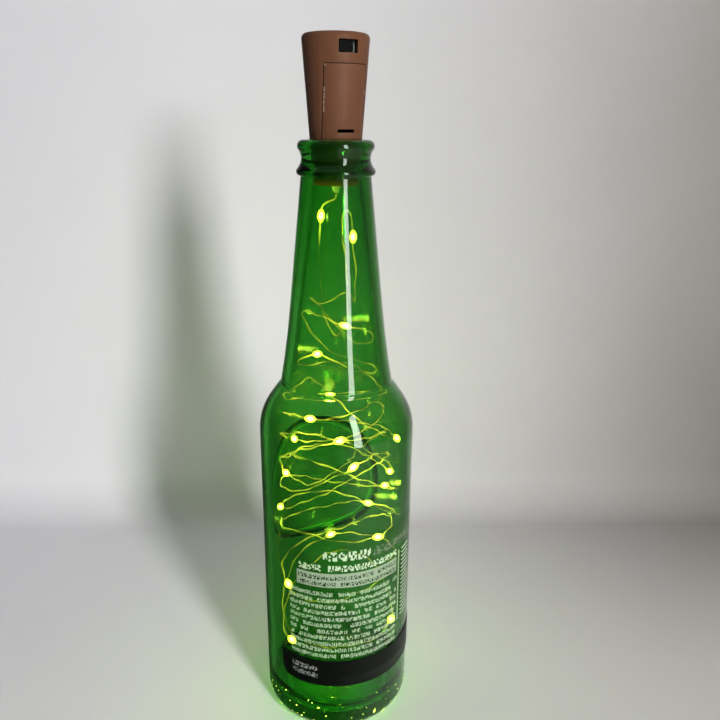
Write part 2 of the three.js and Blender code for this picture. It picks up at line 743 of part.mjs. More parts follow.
// Soft plug that grips the wire where it leaves the housing's floor
function wireSeal() {
  const under = stopperBottom - PART_GAP;
  const over = housingFloorTop + PART_GAP;
  return turned(
    [
      [0, under - SEAL_BOSS_LENGTH],
      [SEAL_TIP_RADIUS, under - SEAL_BOSS_LENGTH],
      [SEAL_BOSS_RADIUS, under],
      [SEAL_NECK_RADIUS, under],
      [SEAL_NECK_RADIUS, over],
      [SEAL_FLANGE_RADIUS, over],
      [SEAL_FLANGE_RADIUS, over + SEAL_FLANGE_HEIGHT],
      [0, over + SEAL_FLANGE_HEIGHT],
    ],
    SEAL_SEGMENTS,
  );
}

// Feed wire from the board, behind the cells, to the top of the wire seal
function feedWire() {
  const start = boardBottom + STRIP_TAB_HEIGHT;
  const end = housingFloorTop + PART_GAP + SEAL_FLANGE_HEIGHT + WIRE_END_GAP;
  const below = bayFloor - SHELF_THICKNESS;
  const route = [
    [-boardBack + WIRE_END_GAP, start],
    [0, start],
    [feedWireBack(shelfTop) - FEED_WIRE_BEND, start],
    [feedWireBack(shelfTop), shelfTop - SHELF_THICKNESS / 2],
    [feedWireBack(bayCeiling), bayCeiling - FEED_WIRE_BEND],
    [feedWireBack(bayFloor), bayFloor],
    [feedWireBack(below), below - FEED_WIRE_BEND],
    [feedWireBack(below) / 2, (below + end) / 2],
    [0, end + FEED_WIRE_BEND],
    [0, end],
  ].map(([y, z]) => new THREE.Vector3(0, y, z));
  const curve = new THREE.CatmullRomCurve3(route, false, "centripetal");
  return tube(curve.getSpacedPoints(FEED_WIRE_STEPS), FEED_WIRE_RADIUS, WIRE_SIDES);
}

// A row of the loops between two turns, eased so that the wire has no corner
function loopRow(turn) {
  const from = Math.min(Math.floor(turn), LOOP_ROWS.length - 2);
  const share = turn - from;
  const eased = share * share * (3 - 2 * share);
  return LOOP_ROWS[from].map((v, k) => {
    const change = LOOP_ROWS[from + 1][k] - v;
    return k === 2 ? v + (((change + 540) % 360) - 180) * eased : v + change * eased;
  });
}

// A point of the loops: a tilted, wavy ring that follows the glass at its row's inset
// and sways inwards from it
function loopPoint(turn) {
  const [middle, rise, high, inset] = loopRow(turn);
  const angle = LOOP_START_ANGLE + 2 * Math.PI * turn;
  const tilt = rise * Math.cos(angle - THREE.MathUtils.degToRad(high));
  const height = middle + tilt + LOOP_WAVE_HEIGHT * Math.sin(LOOP_WAVES_PER_TURN * angle);
  const sway = (LOOP_SWAY / 2) * (1 - Math.cos(LOOP_SWAYS_PER_TURN * angle));
  const radius = glassInside(height) - inset - sway - WIRE_RADIUS;
  return new THREE.Vector3(radius * Math.cos(angle), radius * Math.sin(angle), height);
}

// The string's whole route, as points at even steps with the lights a fixed count of steps apart
function stringPoints() {
  const route = LEAD_POINTS.map(([x, y, drop]) => new THREE.Vector3(x, y, wireExit - drop));
  const turns = LOOP_ROWS.length - 1 - LOOP_END_SHORT;
  for (let i = 0; i <= turns * LOOP_STEPS; i++) route.push(loopPoint(i / LOOP_STEPS));
  const curve = new THREE.CatmullRomCurve3(route, false, "centripetal");
  curve.arcLengthDivisions = 40 * route.length;
  const length = curve.getLength();
  const fine = curve.getSpacedPoints(Math.ceil(length / (2 * WIRE_RADIUS)));
  console.log("light string, mm:", length.toFixed(0));
  console.log("light string, mm between lights:", ((length * STEPS_PER_LED) / stringSteps).toFixed(1));
  console.log("light string, least gap mm:", leastGap(fine, WIRE_RADIUS).toFixed(2));
  return curve.getSpacedPoints(stringSteps);
}

// One light: a drop of clear resin round the wire, lying along the wire's straight step
function ledBead() {
  const hole = WIRE_RADIUS + LED_CLEARANCE;
  const half = LED_LENGTH / 2;
  return turned(
    [
      [hole, -half],
      [LED_END_RADIUS, -half],
      [LED_RADIUS, LED_SHOULDER - half],
      [LED_RADIUS, half - LED_SHOULDER],
      [LED_END_RADIUS, half],
      [hole, half],
      [hole, -half],
    ],
    LED_SEGMENTS,
  );
}

const FINISHES = {
  glass: { color: 0x1f7a2c, roughness: 0.05, metalness: 0, transparent: true, opacity: 0.45 },
  film: { color: 0x10160f, roughness: 0.4, metalness: 0 },
  housing: { color: 0x7d4a34, roughness: 0.5, metalness: 0 },
  black: { color: 0x101214, roughness: 0.4, metalness: 0 },
  board: { color: 0x2f6b3a, roughness: 0.6, metalness: 0 },
  steel: { color: 0xb8bbbd, roughness: 0.3, metalness: 1 },
  copper: { color: 0xc88a4a, roughness: 0.35, metalness: 1 },
  seal: { color: 0xd8d2c4, roughness: 0.6, metalness: 0 },
  resin: { color: 0xfff2a8, roughness: 0.2, metalness: 0, emissive: 0xffe060 },
};

const lamp = new THREE.Group();

function add(name, geometry, finish, parent = lamp) {
  const mesh = new THREE.Mesh(geometry, new THREE.MeshStandardMaterial(FINISHES[finish]));
  mesh.name = name;
  parent.add(mesh);
  return mesh;
}

add("bottle", bottle(), "glass");
add("back_label", backLabel(), "film");
add("front_label", frontLabel(), "film");

const stopper = new THREE.Group();
lamp.add(stopper);
add("front_shell", frontShell(), "housing", stopper);
add("rear_shell", rearShell(), "housing", stopper);
add("battery_door", batteryDoor(), "housing", stopper);
add("circuit_board", circuitBoard(), "board", stopper);
add("resistor", resistor(), "black", stopper);
add("switch_body", switchBody(), "steel", stopper);
add("switch_slider", switchSlider(), "black", stopper);
add("contact_spring", contactSpring(), "steel", stopper);
add("negative_contact", contactStrip(1, bayFloor + PART_GAP), "steel", stopper);
add("positive_contact", contactStrip(-1, topContact), "steel", stopper);
for (let i = 0; i < CELL_COUNT; i++) {
  const mesh = add("battery_cell_" + (i + 1), cell(), "steel", stopper);
  mesh.position.z = cellsBottom + i * (CELL_HEIGHT + PART_GAP);
}
add("wire_seal", wireSeal(), "seal", stopper);
add("feed_wire", feedWire(), "copper", stopper);

// The string: its lead below the stopper, its loops in the bottle and its lights
const points = stringPoints();
const leadPoints = points.slice(0, LEAD_STEPS + 1);
const loopPoints = points.slice(LEAD_STEPS);
const parted = loopPoints[1].clone().sub(loopPoints[0]).setLength(WIRE_END_GAP);
loopPoints[0] = loopPoints[0].clone().add(parted);
add("wire_lead", tube(leadPoints, WIRE_RADIUS, WIRE_SIDES), "copper");
add("wire_loops", tube(loopPoints, WIRE_RADIUS, WIRE_SIDES), "copper");
for (let i = 0; i < LED_COUNT; i++) {
  const step = FIRST_LED_STEP + i * STEPS_PER_LED;
  const [from, to] = [points[step], points[step + 1]];
  const mesh = add("led_bead_" + String(i + 1).padStart(2, "0"), ledBead(), "resin");
  mesh.position.copy(from).add(to).divideScalar(2);
  mesh.quaternion.setFromUnitVectors(new THREE.Vector3(0, 0, 1), to.clone().sub(from).normalize());
}

export default lamp;
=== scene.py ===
"""Bottle table lamp: the looks of every piece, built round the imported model.

Metres, +Z up, in the model's own frame. -Y is the side of the switch, the battery door and the back label.
"""

import bisect
import json
import math

import bmesh
import bpy
from mathutils import Matrix, Quaternion, Vector
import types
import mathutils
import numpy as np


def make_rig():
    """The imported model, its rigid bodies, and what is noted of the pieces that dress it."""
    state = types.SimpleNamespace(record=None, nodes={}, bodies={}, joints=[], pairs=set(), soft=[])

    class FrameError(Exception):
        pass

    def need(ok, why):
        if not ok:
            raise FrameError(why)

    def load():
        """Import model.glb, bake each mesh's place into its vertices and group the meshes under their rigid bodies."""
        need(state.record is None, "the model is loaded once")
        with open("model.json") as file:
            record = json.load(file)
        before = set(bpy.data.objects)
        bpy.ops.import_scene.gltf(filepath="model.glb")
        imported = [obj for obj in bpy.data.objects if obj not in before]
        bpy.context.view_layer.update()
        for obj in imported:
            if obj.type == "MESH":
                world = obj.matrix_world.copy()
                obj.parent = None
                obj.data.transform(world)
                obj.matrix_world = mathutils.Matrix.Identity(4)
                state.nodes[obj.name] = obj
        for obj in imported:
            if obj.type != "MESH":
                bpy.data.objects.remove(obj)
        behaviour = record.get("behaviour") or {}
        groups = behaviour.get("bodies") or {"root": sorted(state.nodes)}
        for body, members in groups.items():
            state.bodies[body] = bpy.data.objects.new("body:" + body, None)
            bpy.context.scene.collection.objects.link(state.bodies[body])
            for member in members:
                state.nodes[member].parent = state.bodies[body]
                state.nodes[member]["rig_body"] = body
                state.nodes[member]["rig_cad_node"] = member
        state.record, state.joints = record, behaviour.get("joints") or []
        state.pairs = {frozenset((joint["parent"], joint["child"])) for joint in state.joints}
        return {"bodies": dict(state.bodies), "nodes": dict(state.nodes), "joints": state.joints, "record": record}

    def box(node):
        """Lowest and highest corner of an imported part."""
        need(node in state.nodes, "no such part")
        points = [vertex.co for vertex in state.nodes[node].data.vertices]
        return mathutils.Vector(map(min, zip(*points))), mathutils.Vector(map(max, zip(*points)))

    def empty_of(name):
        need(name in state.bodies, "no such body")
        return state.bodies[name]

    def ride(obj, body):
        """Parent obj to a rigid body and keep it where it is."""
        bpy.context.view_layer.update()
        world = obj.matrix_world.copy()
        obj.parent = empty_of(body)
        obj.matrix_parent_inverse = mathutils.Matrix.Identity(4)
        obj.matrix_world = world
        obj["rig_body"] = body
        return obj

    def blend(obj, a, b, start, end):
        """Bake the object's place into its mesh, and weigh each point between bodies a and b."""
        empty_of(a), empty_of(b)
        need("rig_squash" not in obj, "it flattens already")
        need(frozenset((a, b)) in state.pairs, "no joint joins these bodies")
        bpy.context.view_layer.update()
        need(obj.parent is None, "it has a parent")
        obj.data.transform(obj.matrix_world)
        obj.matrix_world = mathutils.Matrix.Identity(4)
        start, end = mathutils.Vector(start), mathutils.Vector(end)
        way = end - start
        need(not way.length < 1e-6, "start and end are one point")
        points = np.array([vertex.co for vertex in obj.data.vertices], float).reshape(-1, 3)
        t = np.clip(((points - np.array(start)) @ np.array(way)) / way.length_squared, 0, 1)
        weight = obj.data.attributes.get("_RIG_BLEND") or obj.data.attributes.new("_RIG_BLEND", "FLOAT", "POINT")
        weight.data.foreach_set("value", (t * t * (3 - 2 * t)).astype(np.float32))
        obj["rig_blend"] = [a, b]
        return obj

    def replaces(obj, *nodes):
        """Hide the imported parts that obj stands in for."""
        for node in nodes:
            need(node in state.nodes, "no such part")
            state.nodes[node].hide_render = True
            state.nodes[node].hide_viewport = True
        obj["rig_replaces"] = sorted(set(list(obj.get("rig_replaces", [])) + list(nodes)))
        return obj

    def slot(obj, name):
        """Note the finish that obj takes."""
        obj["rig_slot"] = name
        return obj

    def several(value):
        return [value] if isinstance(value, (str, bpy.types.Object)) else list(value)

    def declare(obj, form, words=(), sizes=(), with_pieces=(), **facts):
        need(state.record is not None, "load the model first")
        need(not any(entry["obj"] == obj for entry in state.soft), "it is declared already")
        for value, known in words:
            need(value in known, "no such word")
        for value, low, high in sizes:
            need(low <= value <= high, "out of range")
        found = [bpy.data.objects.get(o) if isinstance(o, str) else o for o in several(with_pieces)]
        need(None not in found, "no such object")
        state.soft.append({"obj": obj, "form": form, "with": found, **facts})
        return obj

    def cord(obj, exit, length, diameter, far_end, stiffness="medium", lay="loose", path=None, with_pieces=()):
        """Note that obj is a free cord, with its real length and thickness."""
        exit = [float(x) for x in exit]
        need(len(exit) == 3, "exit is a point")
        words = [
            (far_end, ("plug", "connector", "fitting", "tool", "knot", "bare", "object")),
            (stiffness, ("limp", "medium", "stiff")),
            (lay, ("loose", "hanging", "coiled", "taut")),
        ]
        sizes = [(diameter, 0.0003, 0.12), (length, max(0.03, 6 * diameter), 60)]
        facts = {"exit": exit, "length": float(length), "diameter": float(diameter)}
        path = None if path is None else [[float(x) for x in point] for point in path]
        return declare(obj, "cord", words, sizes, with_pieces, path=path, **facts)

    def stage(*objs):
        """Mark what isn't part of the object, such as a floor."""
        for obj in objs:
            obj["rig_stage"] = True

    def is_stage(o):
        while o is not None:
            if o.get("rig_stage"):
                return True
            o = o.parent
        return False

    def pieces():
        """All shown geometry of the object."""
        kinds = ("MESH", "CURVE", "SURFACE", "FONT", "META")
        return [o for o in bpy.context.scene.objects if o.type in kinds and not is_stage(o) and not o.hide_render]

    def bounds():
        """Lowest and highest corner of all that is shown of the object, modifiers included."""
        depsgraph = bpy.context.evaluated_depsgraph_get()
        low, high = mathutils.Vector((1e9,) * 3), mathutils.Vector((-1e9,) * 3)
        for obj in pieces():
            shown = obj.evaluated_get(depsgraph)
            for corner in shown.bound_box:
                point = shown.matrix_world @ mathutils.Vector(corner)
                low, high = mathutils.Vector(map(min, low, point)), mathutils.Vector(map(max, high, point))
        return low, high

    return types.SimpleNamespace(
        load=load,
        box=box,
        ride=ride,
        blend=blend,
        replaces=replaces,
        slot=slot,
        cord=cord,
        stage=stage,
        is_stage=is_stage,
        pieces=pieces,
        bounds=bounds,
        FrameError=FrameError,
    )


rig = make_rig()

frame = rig.load()
CAD_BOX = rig.bounds()

NODES = frame["nodes"]
BODY_OF = {node: body for body, members in frame["record"]["behaviour"]["bodies"].items() for node in members}
SLOT_OF = {part["node"]: part["material_slot"] for part in frame["record"]["subparts"]}

# Camera, in the photograph's place: turned about the bottle's axis from the -Y side
CAMERA_DISTANCE = 0.2545
CAMERA_HEIGHT = 0.23535
CAMERA_AZIMUTH = math.radians(-22.6)
CAMERA_PITCH = math.radians(18.727)
CAMERA_YAW = math.radians(2.0)
CAMERA_ROLL = math.radians(0.5)
CAMERA_LENS = 35.6

# Room: the paper sheet behind and below with its painted shade, its light, a dark card and a bright window that only
# gloss shows
WALL_BEHIND = 0.15
WALL_HEIGHT = 0.6
WALL_WIDTH = 1.6
WALL_LIFT = 0.00015
SWEEP_RADIUS = 0.025
FLOOR_SIZE = 3.0
WALL_COLOUR = (0.81, 0.805, 0.85)
WALL_TOP_SHADE_COLOUR = (0.69, 0.69, 0.735)
WALL_TOP = 0.3
WALL_DIM_COLOUR = (0.19, 0.178, 0.162)
FLOOR_COLOUR = (0.68, 0.67, 0.72)
FLOOR_DIM_COLOUR = (0.44, 0.43, 0.41)
FLOOR_DIM_FROM = -0.03
DIM_FROM = -0.1
DIM_TO = 0.32
CLOUD_SCALE = 9
CLOUD_STRENGTH = 0.1
BACKGROUND_COLOUR = (0.6, 0.61, 0.62)
HAZE_FROM = 0.42
HAZE_TO = 1.0
FILL_COLOUR = (0.97, 0.98, 1.0)
FILL_STRENGTH = 0.145
KEY_POWER = 12.5
KEY_HEIGHT = 0.56
KEY_SIZE = (0.155, 0.44)
KEY_AIM = 0.12
KEY_COLOUR = (1.0, 0.985, 0.96)
TOP_POWER = 1.2
TOP_HEIGHT = 1.2
TOP_BEHIND = 0.1
TOP_SIZE = (0.8, 0.8)
TOP_COLOUR = (0.98, 0.99, 1.0)
CARD_COLOUR = (0.03, 0.03, 0.03)
CARD_NEAR = 0.031
CARD_DISTANCE = 1.4
CARD_HEIGHT = 1.6
CARD_LIFT = 0.0006
CARD_FROM = -174
CARD_TO = 35
CARD_FADE_LEFT = 36
CARD_FADE_RIGHT = 38
WINDOW_TURN = 30
WINDOW_DISTANCE = 1.0
WINDOW_WIDTH = 0.2
WINDOW_HEIGHT = 1.1
WINDOW_GLOW = 11.0
WINDOW_COLOUR = (0.97, 1.0, 0.97)

# Light string: lead from the stopper as x, y and drop below the wire's exit
LEAD_POINTS = [
    (0.0, 0.0, 0.0),
    (-0.0003, 0.0001, 0.0013),
    (-0.0027, 0.0006, 0.0022),
    (-0.0047, 0.0012, 0.0036),
    (-0.0053, 0.0016, 0.008),
    (-0.0056, 0.0022, 0.02),
    (-0.0048, 0.0026, 0.035),
    (-0.0024, 0.0024, 0.048),
    (0.0006, 0.0019, 0.052),
    (0.0032, 0.0008, 0.048),
    (0.0044, -0.0006, 0.037),
    (0.0032, -0.0012, 0.024),
    (0.0017, -0.0014, 0.013),
    (0.0015, -0.002, 0.0085),
    (0.0027, -0.0032, 0.0054),
    (0.0042, -0.0039, 0.0076),
    (0.0047, -0.0038, 0.0125),
    (0.0054, -0.0034, 0.02),
    (0.0063, -0.0028, 0.03),
]

# Its loops, one row a turn: height of the middle, rise and direction of the high side, inset from the glass
LOOP_ROWS = [
    (0.173, 0.0, 157, 0.0066),
    (0.165, 0.008, 157, 0.0017),
    (0.151, 0.008, 190, 0.0017),
    (0.138, 0.012, 250, 0.0017),
    (0.127, 0.014, 200, 0.0017),
    (0.120, 0.015, 280, 0.005),
    (0.113, 0.014, 205, 0.0017),
    (0.108, 0.017, 290, 0.006),
    (0.102, 0.015, 210, 0.0017),
    (0.097, 0.017, 300, 0.006),
    (0.089, 0.013, 230, 0.0017),
    (0.074, 0.010, 285, 0.004),
    (0.058, 0.009, 345, 0.0017),
    (0.042, 0.008, 55, 0.0017),
    (0.030, 0.005, 115, 0.0017),
]
LOOP_START = math.radians(-20)
LOOP_STEPS = 24
LOOP_WAVE_HEIGHT = 0.0019
LOOP_WAVES_PER_TURN = 2.3
LOOP_SWAY = 0.0022
LOOP_SWAYS_PER_TURN = 2.12
LOOP_END_SHORT = 0.375
WIRE_DIAMETER = 0.0006
WIRE_END_GAP = 0.0003
STRAND_RADIUS = 0.00007
STRAND_OFFSET = 0.00019
STRAND_TWIST = 0.022
STRAND_SIDES = 6
KINK_SIZE = 0.00024
KINK_START = 0.02
KINK_WAVES = ((0.019, 0.0), (0.0083, 1.0), (0.0231, 2.0), (0.0107, 0.0))
LED_COUNT = 20
STEPS_PER_LED = 16
FIRST_LED_MIDDLE = 1.5
STRING_STEPS = 306

# Its lights, and the painted glow on the wire that stands for the light that they throw on it
LED_RADIUS = 0.0013
LED_END_RADIUS = 0.0004
LED_LENGTH = 0.0046
LED_SWELL = 1.8
CHIP_RADIUS = 0.0008
CHIP_LENGTH = 0.0026
CHIP_SWELL = 1.0
CHIP_COLOUR = (1.0, 0.8, 0.4)
CHIP_LIGHTS = ((1.0, 0.56, 0.18), (1.0, 0.62, 0.24))
CHIP_CLOUD_SCALE = 1500
CHIP_GLOW = 1700.0
RESIN_COLOURS = ((1.0, 0.8, 0.35), (1.0, 0.9, 0.5))
RESIN_LIGHTS = ((1.0, 0.48, 0.04), (1.0, 0.54, 0.06))
RESIN_CLOUD_SCALE = 900
RESIN_GLOW = 24.0
RESIN_ALPHA = 0.3
WIRE_LIGHT = (1.0, 0.38, 0.07)
WIRE_GLOW = 11.0
WIRE_GLOW_REACH = 0.004
WIRE_PATCH_SCALE = 110
WIRE_PATCH_NOISE = (0.4, 0.66)
WIRE_PATCH_GLOW = (0.03, 2.4)

# Glass: its surface tint, the tint of its shadow and of its depth, its ripples, and the painted glow and painted
# glints in its foot, which stand for the string's light there
GLASS_COLOUR = (0.42, 0.72, 0.38)
GLASS_SHADOW_COLOUR = (0.52, 0.44, 0.4)
GLASS_DEPTH_COLOUR = (0.1, 0.67, 0.02)
GLASS_DENSITY = 350.0
OUTER_RIPPLE = 0.00005
OUTER_RIPPLE_SCALE = 70
OUTER_RIPPLE_HEIGHT_SCALE = 0.4
INNER_RIPPLE = 2.6
INNER_RIPPLE_SCALE = 160
FOOT_HEIGHT = 0.016
FOOT_GLOW_COLOUR = (0.07, 1.0, 0.03)
FOOT_GLOW = 0.05
STIPPLE_SCALE = 420
STIPPLE_SHARE = 0.5
HEEL_FACING = 0.008
GLINT_HEIGHT = 0.015
GLINT_SCALE = 700
GLINT_RARITY = 0.655
GLINT_THINNING = 6.0
GLINT_COLOUR = (0.75, 1.0, 0.1)
GLINT_GLOW = 4.0

# Back label: its rows of specks as left, right and low edge, pitch, count of rows and size of a cell
BACK_LABEL_CORNER = 0.005
PRINT_ROWS = (-0.031, 0.0148, 0.0368, 0.00284, 11, 0.0017)
HEADING_ROW = (-0.0169, 0.0012, 0.0808, 0.005, 1, 0.0037)
FAINT_HEADING_ROW = (0.0025, 0.023, 0.0808, 0.005, 1, 0.0037)
SECOND_ROW = (-0.0265, 0.0142, 0.0762, 0.004, 1, 0.0025)
PANEL_ROWS = (-0.027, 0.0138, 0.0697, 0.0027, 2, 0.0017)
NOTE_ROWS = (-0.0305, -0.0195, 0.0268, 0.0032, 2, 0.0022)
PRINT_FILL = 0.88
CELL_FILL = 0.86
ROW_SHIFT = 0.37
SPECKS_A_CELL = 5
SPECK_FILL = 0.52

# Its panel, line and striped block as left, right, low and high edge, and how far each print covers the film
PANEL_EDGES = (-0.0275, 0.0143, 0.0692, 0.0752)
LINE_EDGES = (0.0159, 0.0162, 0.045, 0.0775)
BLOCK_EDGES = (0.0181, 0.0242, 0.046, 0.0775)
STRIPE_PITCH = 0.0018
STRIPE_FILL = 0.66
BAND_TOP = 0.0353
ROWS_COVER = 0.5
BRIGHT_COVER = 0.8
FAINT_COVER = 0.4
PANEL_COVER = 0.68
NOTES_COVER = 0.55
BLOCK_COVER = 0.92
BAND_COVER = 0.97
FILM_COVER = 0.03
BAND_COLOUR = (0.004, 0.005, 0.004)
PALE_INK = (0.62, 0.76, 0.56)
DARK_INK = (0.01, 0.06, 0.012)
NOTE_INK = (0.3, 0.32, 0.3)

# Front label: where its rim and line lie, as shares of the way out, and how far each covers
OVAL_COLOURS = ((0.07, 0.15, 0.009), (0.1, 0.21, 0.012))
OVAL_MOTTLE_SCALE = 260
OVAL_COVER = 0.33
OVAL_RIM_FROM = 0.935
OVAL_RIM_COLOUR = (0.004, 0.02, 0.006)
OVAL_RIM_COVER = 0.97
OVAL_LINE_FROM = 0.87
OVAL_LINE_TO = 0.89
OVAL_LINE_COLOUR = (0.6, 0.7, 0.55)
OVAL_LINE_COVER = 0.7

# Stopper: its plastic, the painted shade in its seam, the wear on its door and the painted glow on its lower rim, for
# the first light's light on it
BROWN_COLOURS = ((0.112, 0.048, 0.0255), (0.146, 0.063, 0.034))
FLOW_SCALE = 420
FLOW_HEIGHT_SCALE = 0.3
GRAIN_SCALE = 3800
GRAIN_DEPTH = 0.00001
BROWN_ROUGHNESS = 0.36
BROWN_ROUGHNESS_SPREAD = 0.16
SEAM_SHADE = 0.00024
SEAM_SHADE_COLOUR = (0.03, 0.012, 0.007)
EDGE_WEAR = 0.0003
WORN_COLOUR = (0.34, 0.24, 0.17)
WORN_PATCH_SCALE = 130
WORN_PATCH_SHARE = 0.56
WORN_SPECK_SCALE = 1300
WORN_SPECK_SHARE = 0.5
RIM_HEIGHT = 0.0026
RIM_GLOW_COLOUR = (1.0, 0.2, 0.02)
RIM_GLOW = 0.32

# Plain finishes: dark and light tone, scale of the grain, roughness, depth of the grain, other shader values
FINISHES = {
    "lacquered_copper": ((0.5, 0.29, 0.1), (0.72, 0.46, 0.2), 2500, 0.25, 0.000002, {"Metallic": 1.0}),
    "plain_copper": ((0.8, 0.45, 0.16), (1.0, 0.7, 0.34), 2500, 0.3, 0.000002, {"Metallic": 0.85}),
    "nickel_plate": ((0.55, 0.55, 0.54), (0.72, 0.72, 0.7), 3000, 0.22, 0.000002, {"Metallic": 1.0}),
    "dark_plate": ((0.1, 0.1, 0.1), (0.16, 0.16, 0.16), 3000, 0.4, 0.000002, {"Metallic": 1.0}),
    "black_plastic": ((0.002,) * 3, (0.004,) * 3, 3500, 0.5, 0.000006, {"Specular_IOR_Level": 0.06}),
    "board_laminate": ((0.012, 0.11, 0.03), (0.02, 0.16, 0.045), 2600, 0.3, 0.000004, {}),
    "seal_rubber": ((0.42, 0.38, 0.31), (0.56, 0.51, 0.43), 2200, 0.6, 0.00001, {}),
}
DRIFT_COARSENESS = 6
ROUGHNESS_SPREAD = 0.15

# Eased edges of the stopper's pieces
EDGE_EASE = 0.00012
SEAM_EASE = 0.00045
SEAM_REACH = 0.0002
KNOB_EASE = 0.0002
INSIDE_EASE = 0.0001
STRIP_EASE = 0.00005
SEAL_EASE = 0.0003
CELL_EASE = 0.00025
EASE_SEGMENTS = 2
EASE_PROFILE = 0.6
SHARP_ANGLE = math.radians(35)
FLAT_ANGLE = math.radians(0.5)
OUTSIDE_TOLERANCE = 0.00005

# Button cells and their spring
CELL_COUNT = 3
SPRING_TURNS = 2
SPRING_WIRE_RADIUS = 0.00025
SPRING_TOP_RADIUS = 0.0022

# Facets
BOTTLE_SEGMENTS = 144
PROFILE_STEPS = 5
STRAIGHT_REACH = 0.0015
ROUND_SEGMENTS = 64
LED_SEGMENTS = 20
LED_RINGS = 14
ROUTE_STEPS = 6
STRAND_STEP = 0.0011
FILM_COLUMNS = 96
FILM_ROWS = 12
SPRING_STEPS = 28
SPRING_SIDES = 10
SWEEP_STEPS = 10
CARD_COLUMNS = 48
CORNER_STEPS = 3

# Points closer than this are one. A point this many of them off the axis still counts as on it.
SAME_POINT = 1e-6
AXIS_CELLS = 10


def in_scene(name, data):
    """A new object in the scene, with its mesh, light or camera."""
    made = bpy.data.objects.new(name, data)
    bpy.context.scene.collection.objects.link(made)
    return made


def put(made, spot, turn):
    """Moves an object to a spot and turns it there."""
    made.location = spot
    made.rotation_mode = "QUATERNION"
    made.rotation_quaternion = turn


def mesh_piece(name, verts, faces):
    """A new smooth mesh object from points and faces, in the model's frame."""
    mesh = bpy.data.meshes.new(name)
    mesh.from_pydata([tuple(v) for v in verts], [], faces)
    mesh.validate()
    mesh.polygons.foreach_set("use_smooth", [True] * len(mesh.polygons))
    return in_scene(name, mesh)


def settle(piece, finishes, *nodes):
    """Gives a piece its materials and puts it in the place of its CAD nodes."""
    for finish in finishes:
        piece.data.materials.append(finish)
    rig.replaces(piece, *nodes)
    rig.slot(piece, SLOT_OF[nodes[0]])


def on_axis(cell):
    """Whether a cell of a profile lies on the axis that it is turned about."""
    return cell[0] <= AXIS_CELLS


def meridian(node_name):
    """The profile of a turned CAD node as radius and height pairs, from its lowest axis point on."""
    low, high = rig.box(node_name)
    middle = (low + high) / 2
    near = AXIS_CELLS * SAME_POINT
    cells = {}
    for vert in NODES[node_name].data.vertices:
        x, y, z = vert.co.x - middle.x, vert.co.y - middle.y, vert.co.z
        if abs(y) < near and x > -near:
            cells[vert.index] = (round(x / SAME_POINT), round(z / SAME_POINT))
    joined = {}
    for edge in NODES[node_name].data.edges:
        a, b = (cells.get(i) for i in edge.vertices)
        if a and b and a != b:
            joined.setdefault(a, set()).add(b)
            joined.setdefault(b, set()).add(a)
    here = min((c for c in joined if on_axis(c)), key=lambda c: c[1])
    line = [here]
    while True:
        ways = [c for c in joined[here] if c not in line and not (on_axis(c) and on_axis(here))]
        if not ways:
            break
        here = ways[0]
        line.append(here)
    return [(0.0 if on_axis(c) else c[0] * SAME_POINT, c[1] * SAME_POINT) for c in line]


def smooth_line(points, steps):
    """Points along a centripetal Catmull-Rom curve, with a count of steps between each pair."""
    knots = [Vector(p) for p in points]
    knots = [2 * knots[0] - knots[1], *knots, 2 * knots[-1] - knots[-2]]
    line = []
    for p0, p1, p2, p3 in zip(knots, knots[1:], knots[2:], knots[3:]):
        span0, span1, span2 = (math.sqrt((b - a).length) for a, b in ((p0, p1), (p1, p2), (p2, p3)))
        leave = ((p1 - p0) / span0 - (p2 - p0) / (span0 + span1) + (p2 - p1) / span1) * span1
        arrive = ((p2 - p1) / span1 - (p3 - p1) / (span1 + span2) + (p3 - p2) / span2) * span1
        square = 3 * (p2 - p1) - 2 * leave - arrive
        cube = 2 * (p1 - p2) + leave + arrive
        for i in range(steps):
            t = i / steps
            line.append(p1 + t * leave + t * t * square + t ** 3 * cube)
    return [*line, knots[-2]]


def lathe(name, profile, segments):
    """A profile of radius and height turned about the Z axis, with single points where it meets the axis."""
    verts = []
    rings = []
    for r, z in profile:
        if r < SAME_POINT:
            rings.append([len(verts)] * segments)
            verts.append((0.0, 0.0, z))
            continue
        rings.append([len(verts) + k for k in range(segments)])
        for k in range(segments):
            a = 2 * math.pi * k / segments
            verts.append((r * math.cos(a), r * math.sin(a), z))
    faces = []
    for lower, upper in zip(rings, rings[1:]):
        for k in range(segments):
            n = (k + 1) % segments
            ring = [lower[k], lower[n], upper[n], upper[k]]
            faces.append(tuple(dict.fromkeys(ring)))
    return mesh_piece(name, verts, faces)


def tube_rings(points, radius, sides):
    """Rings of a tube along points, kept from turning about it."""
    rings = []
    side = None
    for i, p in enumerate(points):
        along = (points[min(i + 1, len(points) - 1)] - points[max(i - 1, 0)]).normalized()
        if side is None:
            side = along.orthogonal().normalized()
        side = (side - along * side.dot(along)).normalized()
        other = along.cross(side)
        angles = [2 * math.pi * k / sides for k in range(sides)]
        rings.append([p + radius * (math.cos(a) * side + math.sin(a) * other) for a in angles])
    return rings


def tube_mesh(strands, sides):
    """Vertices and faces of closed tubes, each given by its rings."""
    verts, faces = [], []
    for rings in strands:
        start = len(verts)
        verts += [v for ring in rings for v in ring]
        for i in range(len(rings) - 1):
            for k in range(sides):
                a, b = start + i * sides + k, start + i * sides + (k + 1) % sides
                faces.append((a, b, b + sides, a + sides))
        end = len(verts) - sides
        faces.append(tuple(range(start + sides - 1, start - 1, -1)))
        faces.append(tuple(range(end, end + sides)))
    return verts, faces


def feed(tree, socket, value):
    """Links a socket to another one, or sets its own value. A colour is opaque."""
    if isinstance(value, bpy.types.NodeSocket):
        tree.links.new(value, socket)
    elif socket.type == "RGBA":
        socket.default_value = (*value, 1)
    else:
        socket.default_value = value


def node(tree, kind, inputs=(), **settings):
    """A new shader node with its settings and inputs."""
    made = tree.nodes.new("ShaderNode" + kind)
    for name, value in settings.items():
        setattr(made, name, value)
    for socket, value in dict(inputs).items():
        feed(tree, made.inputs[socket], value)
    return made


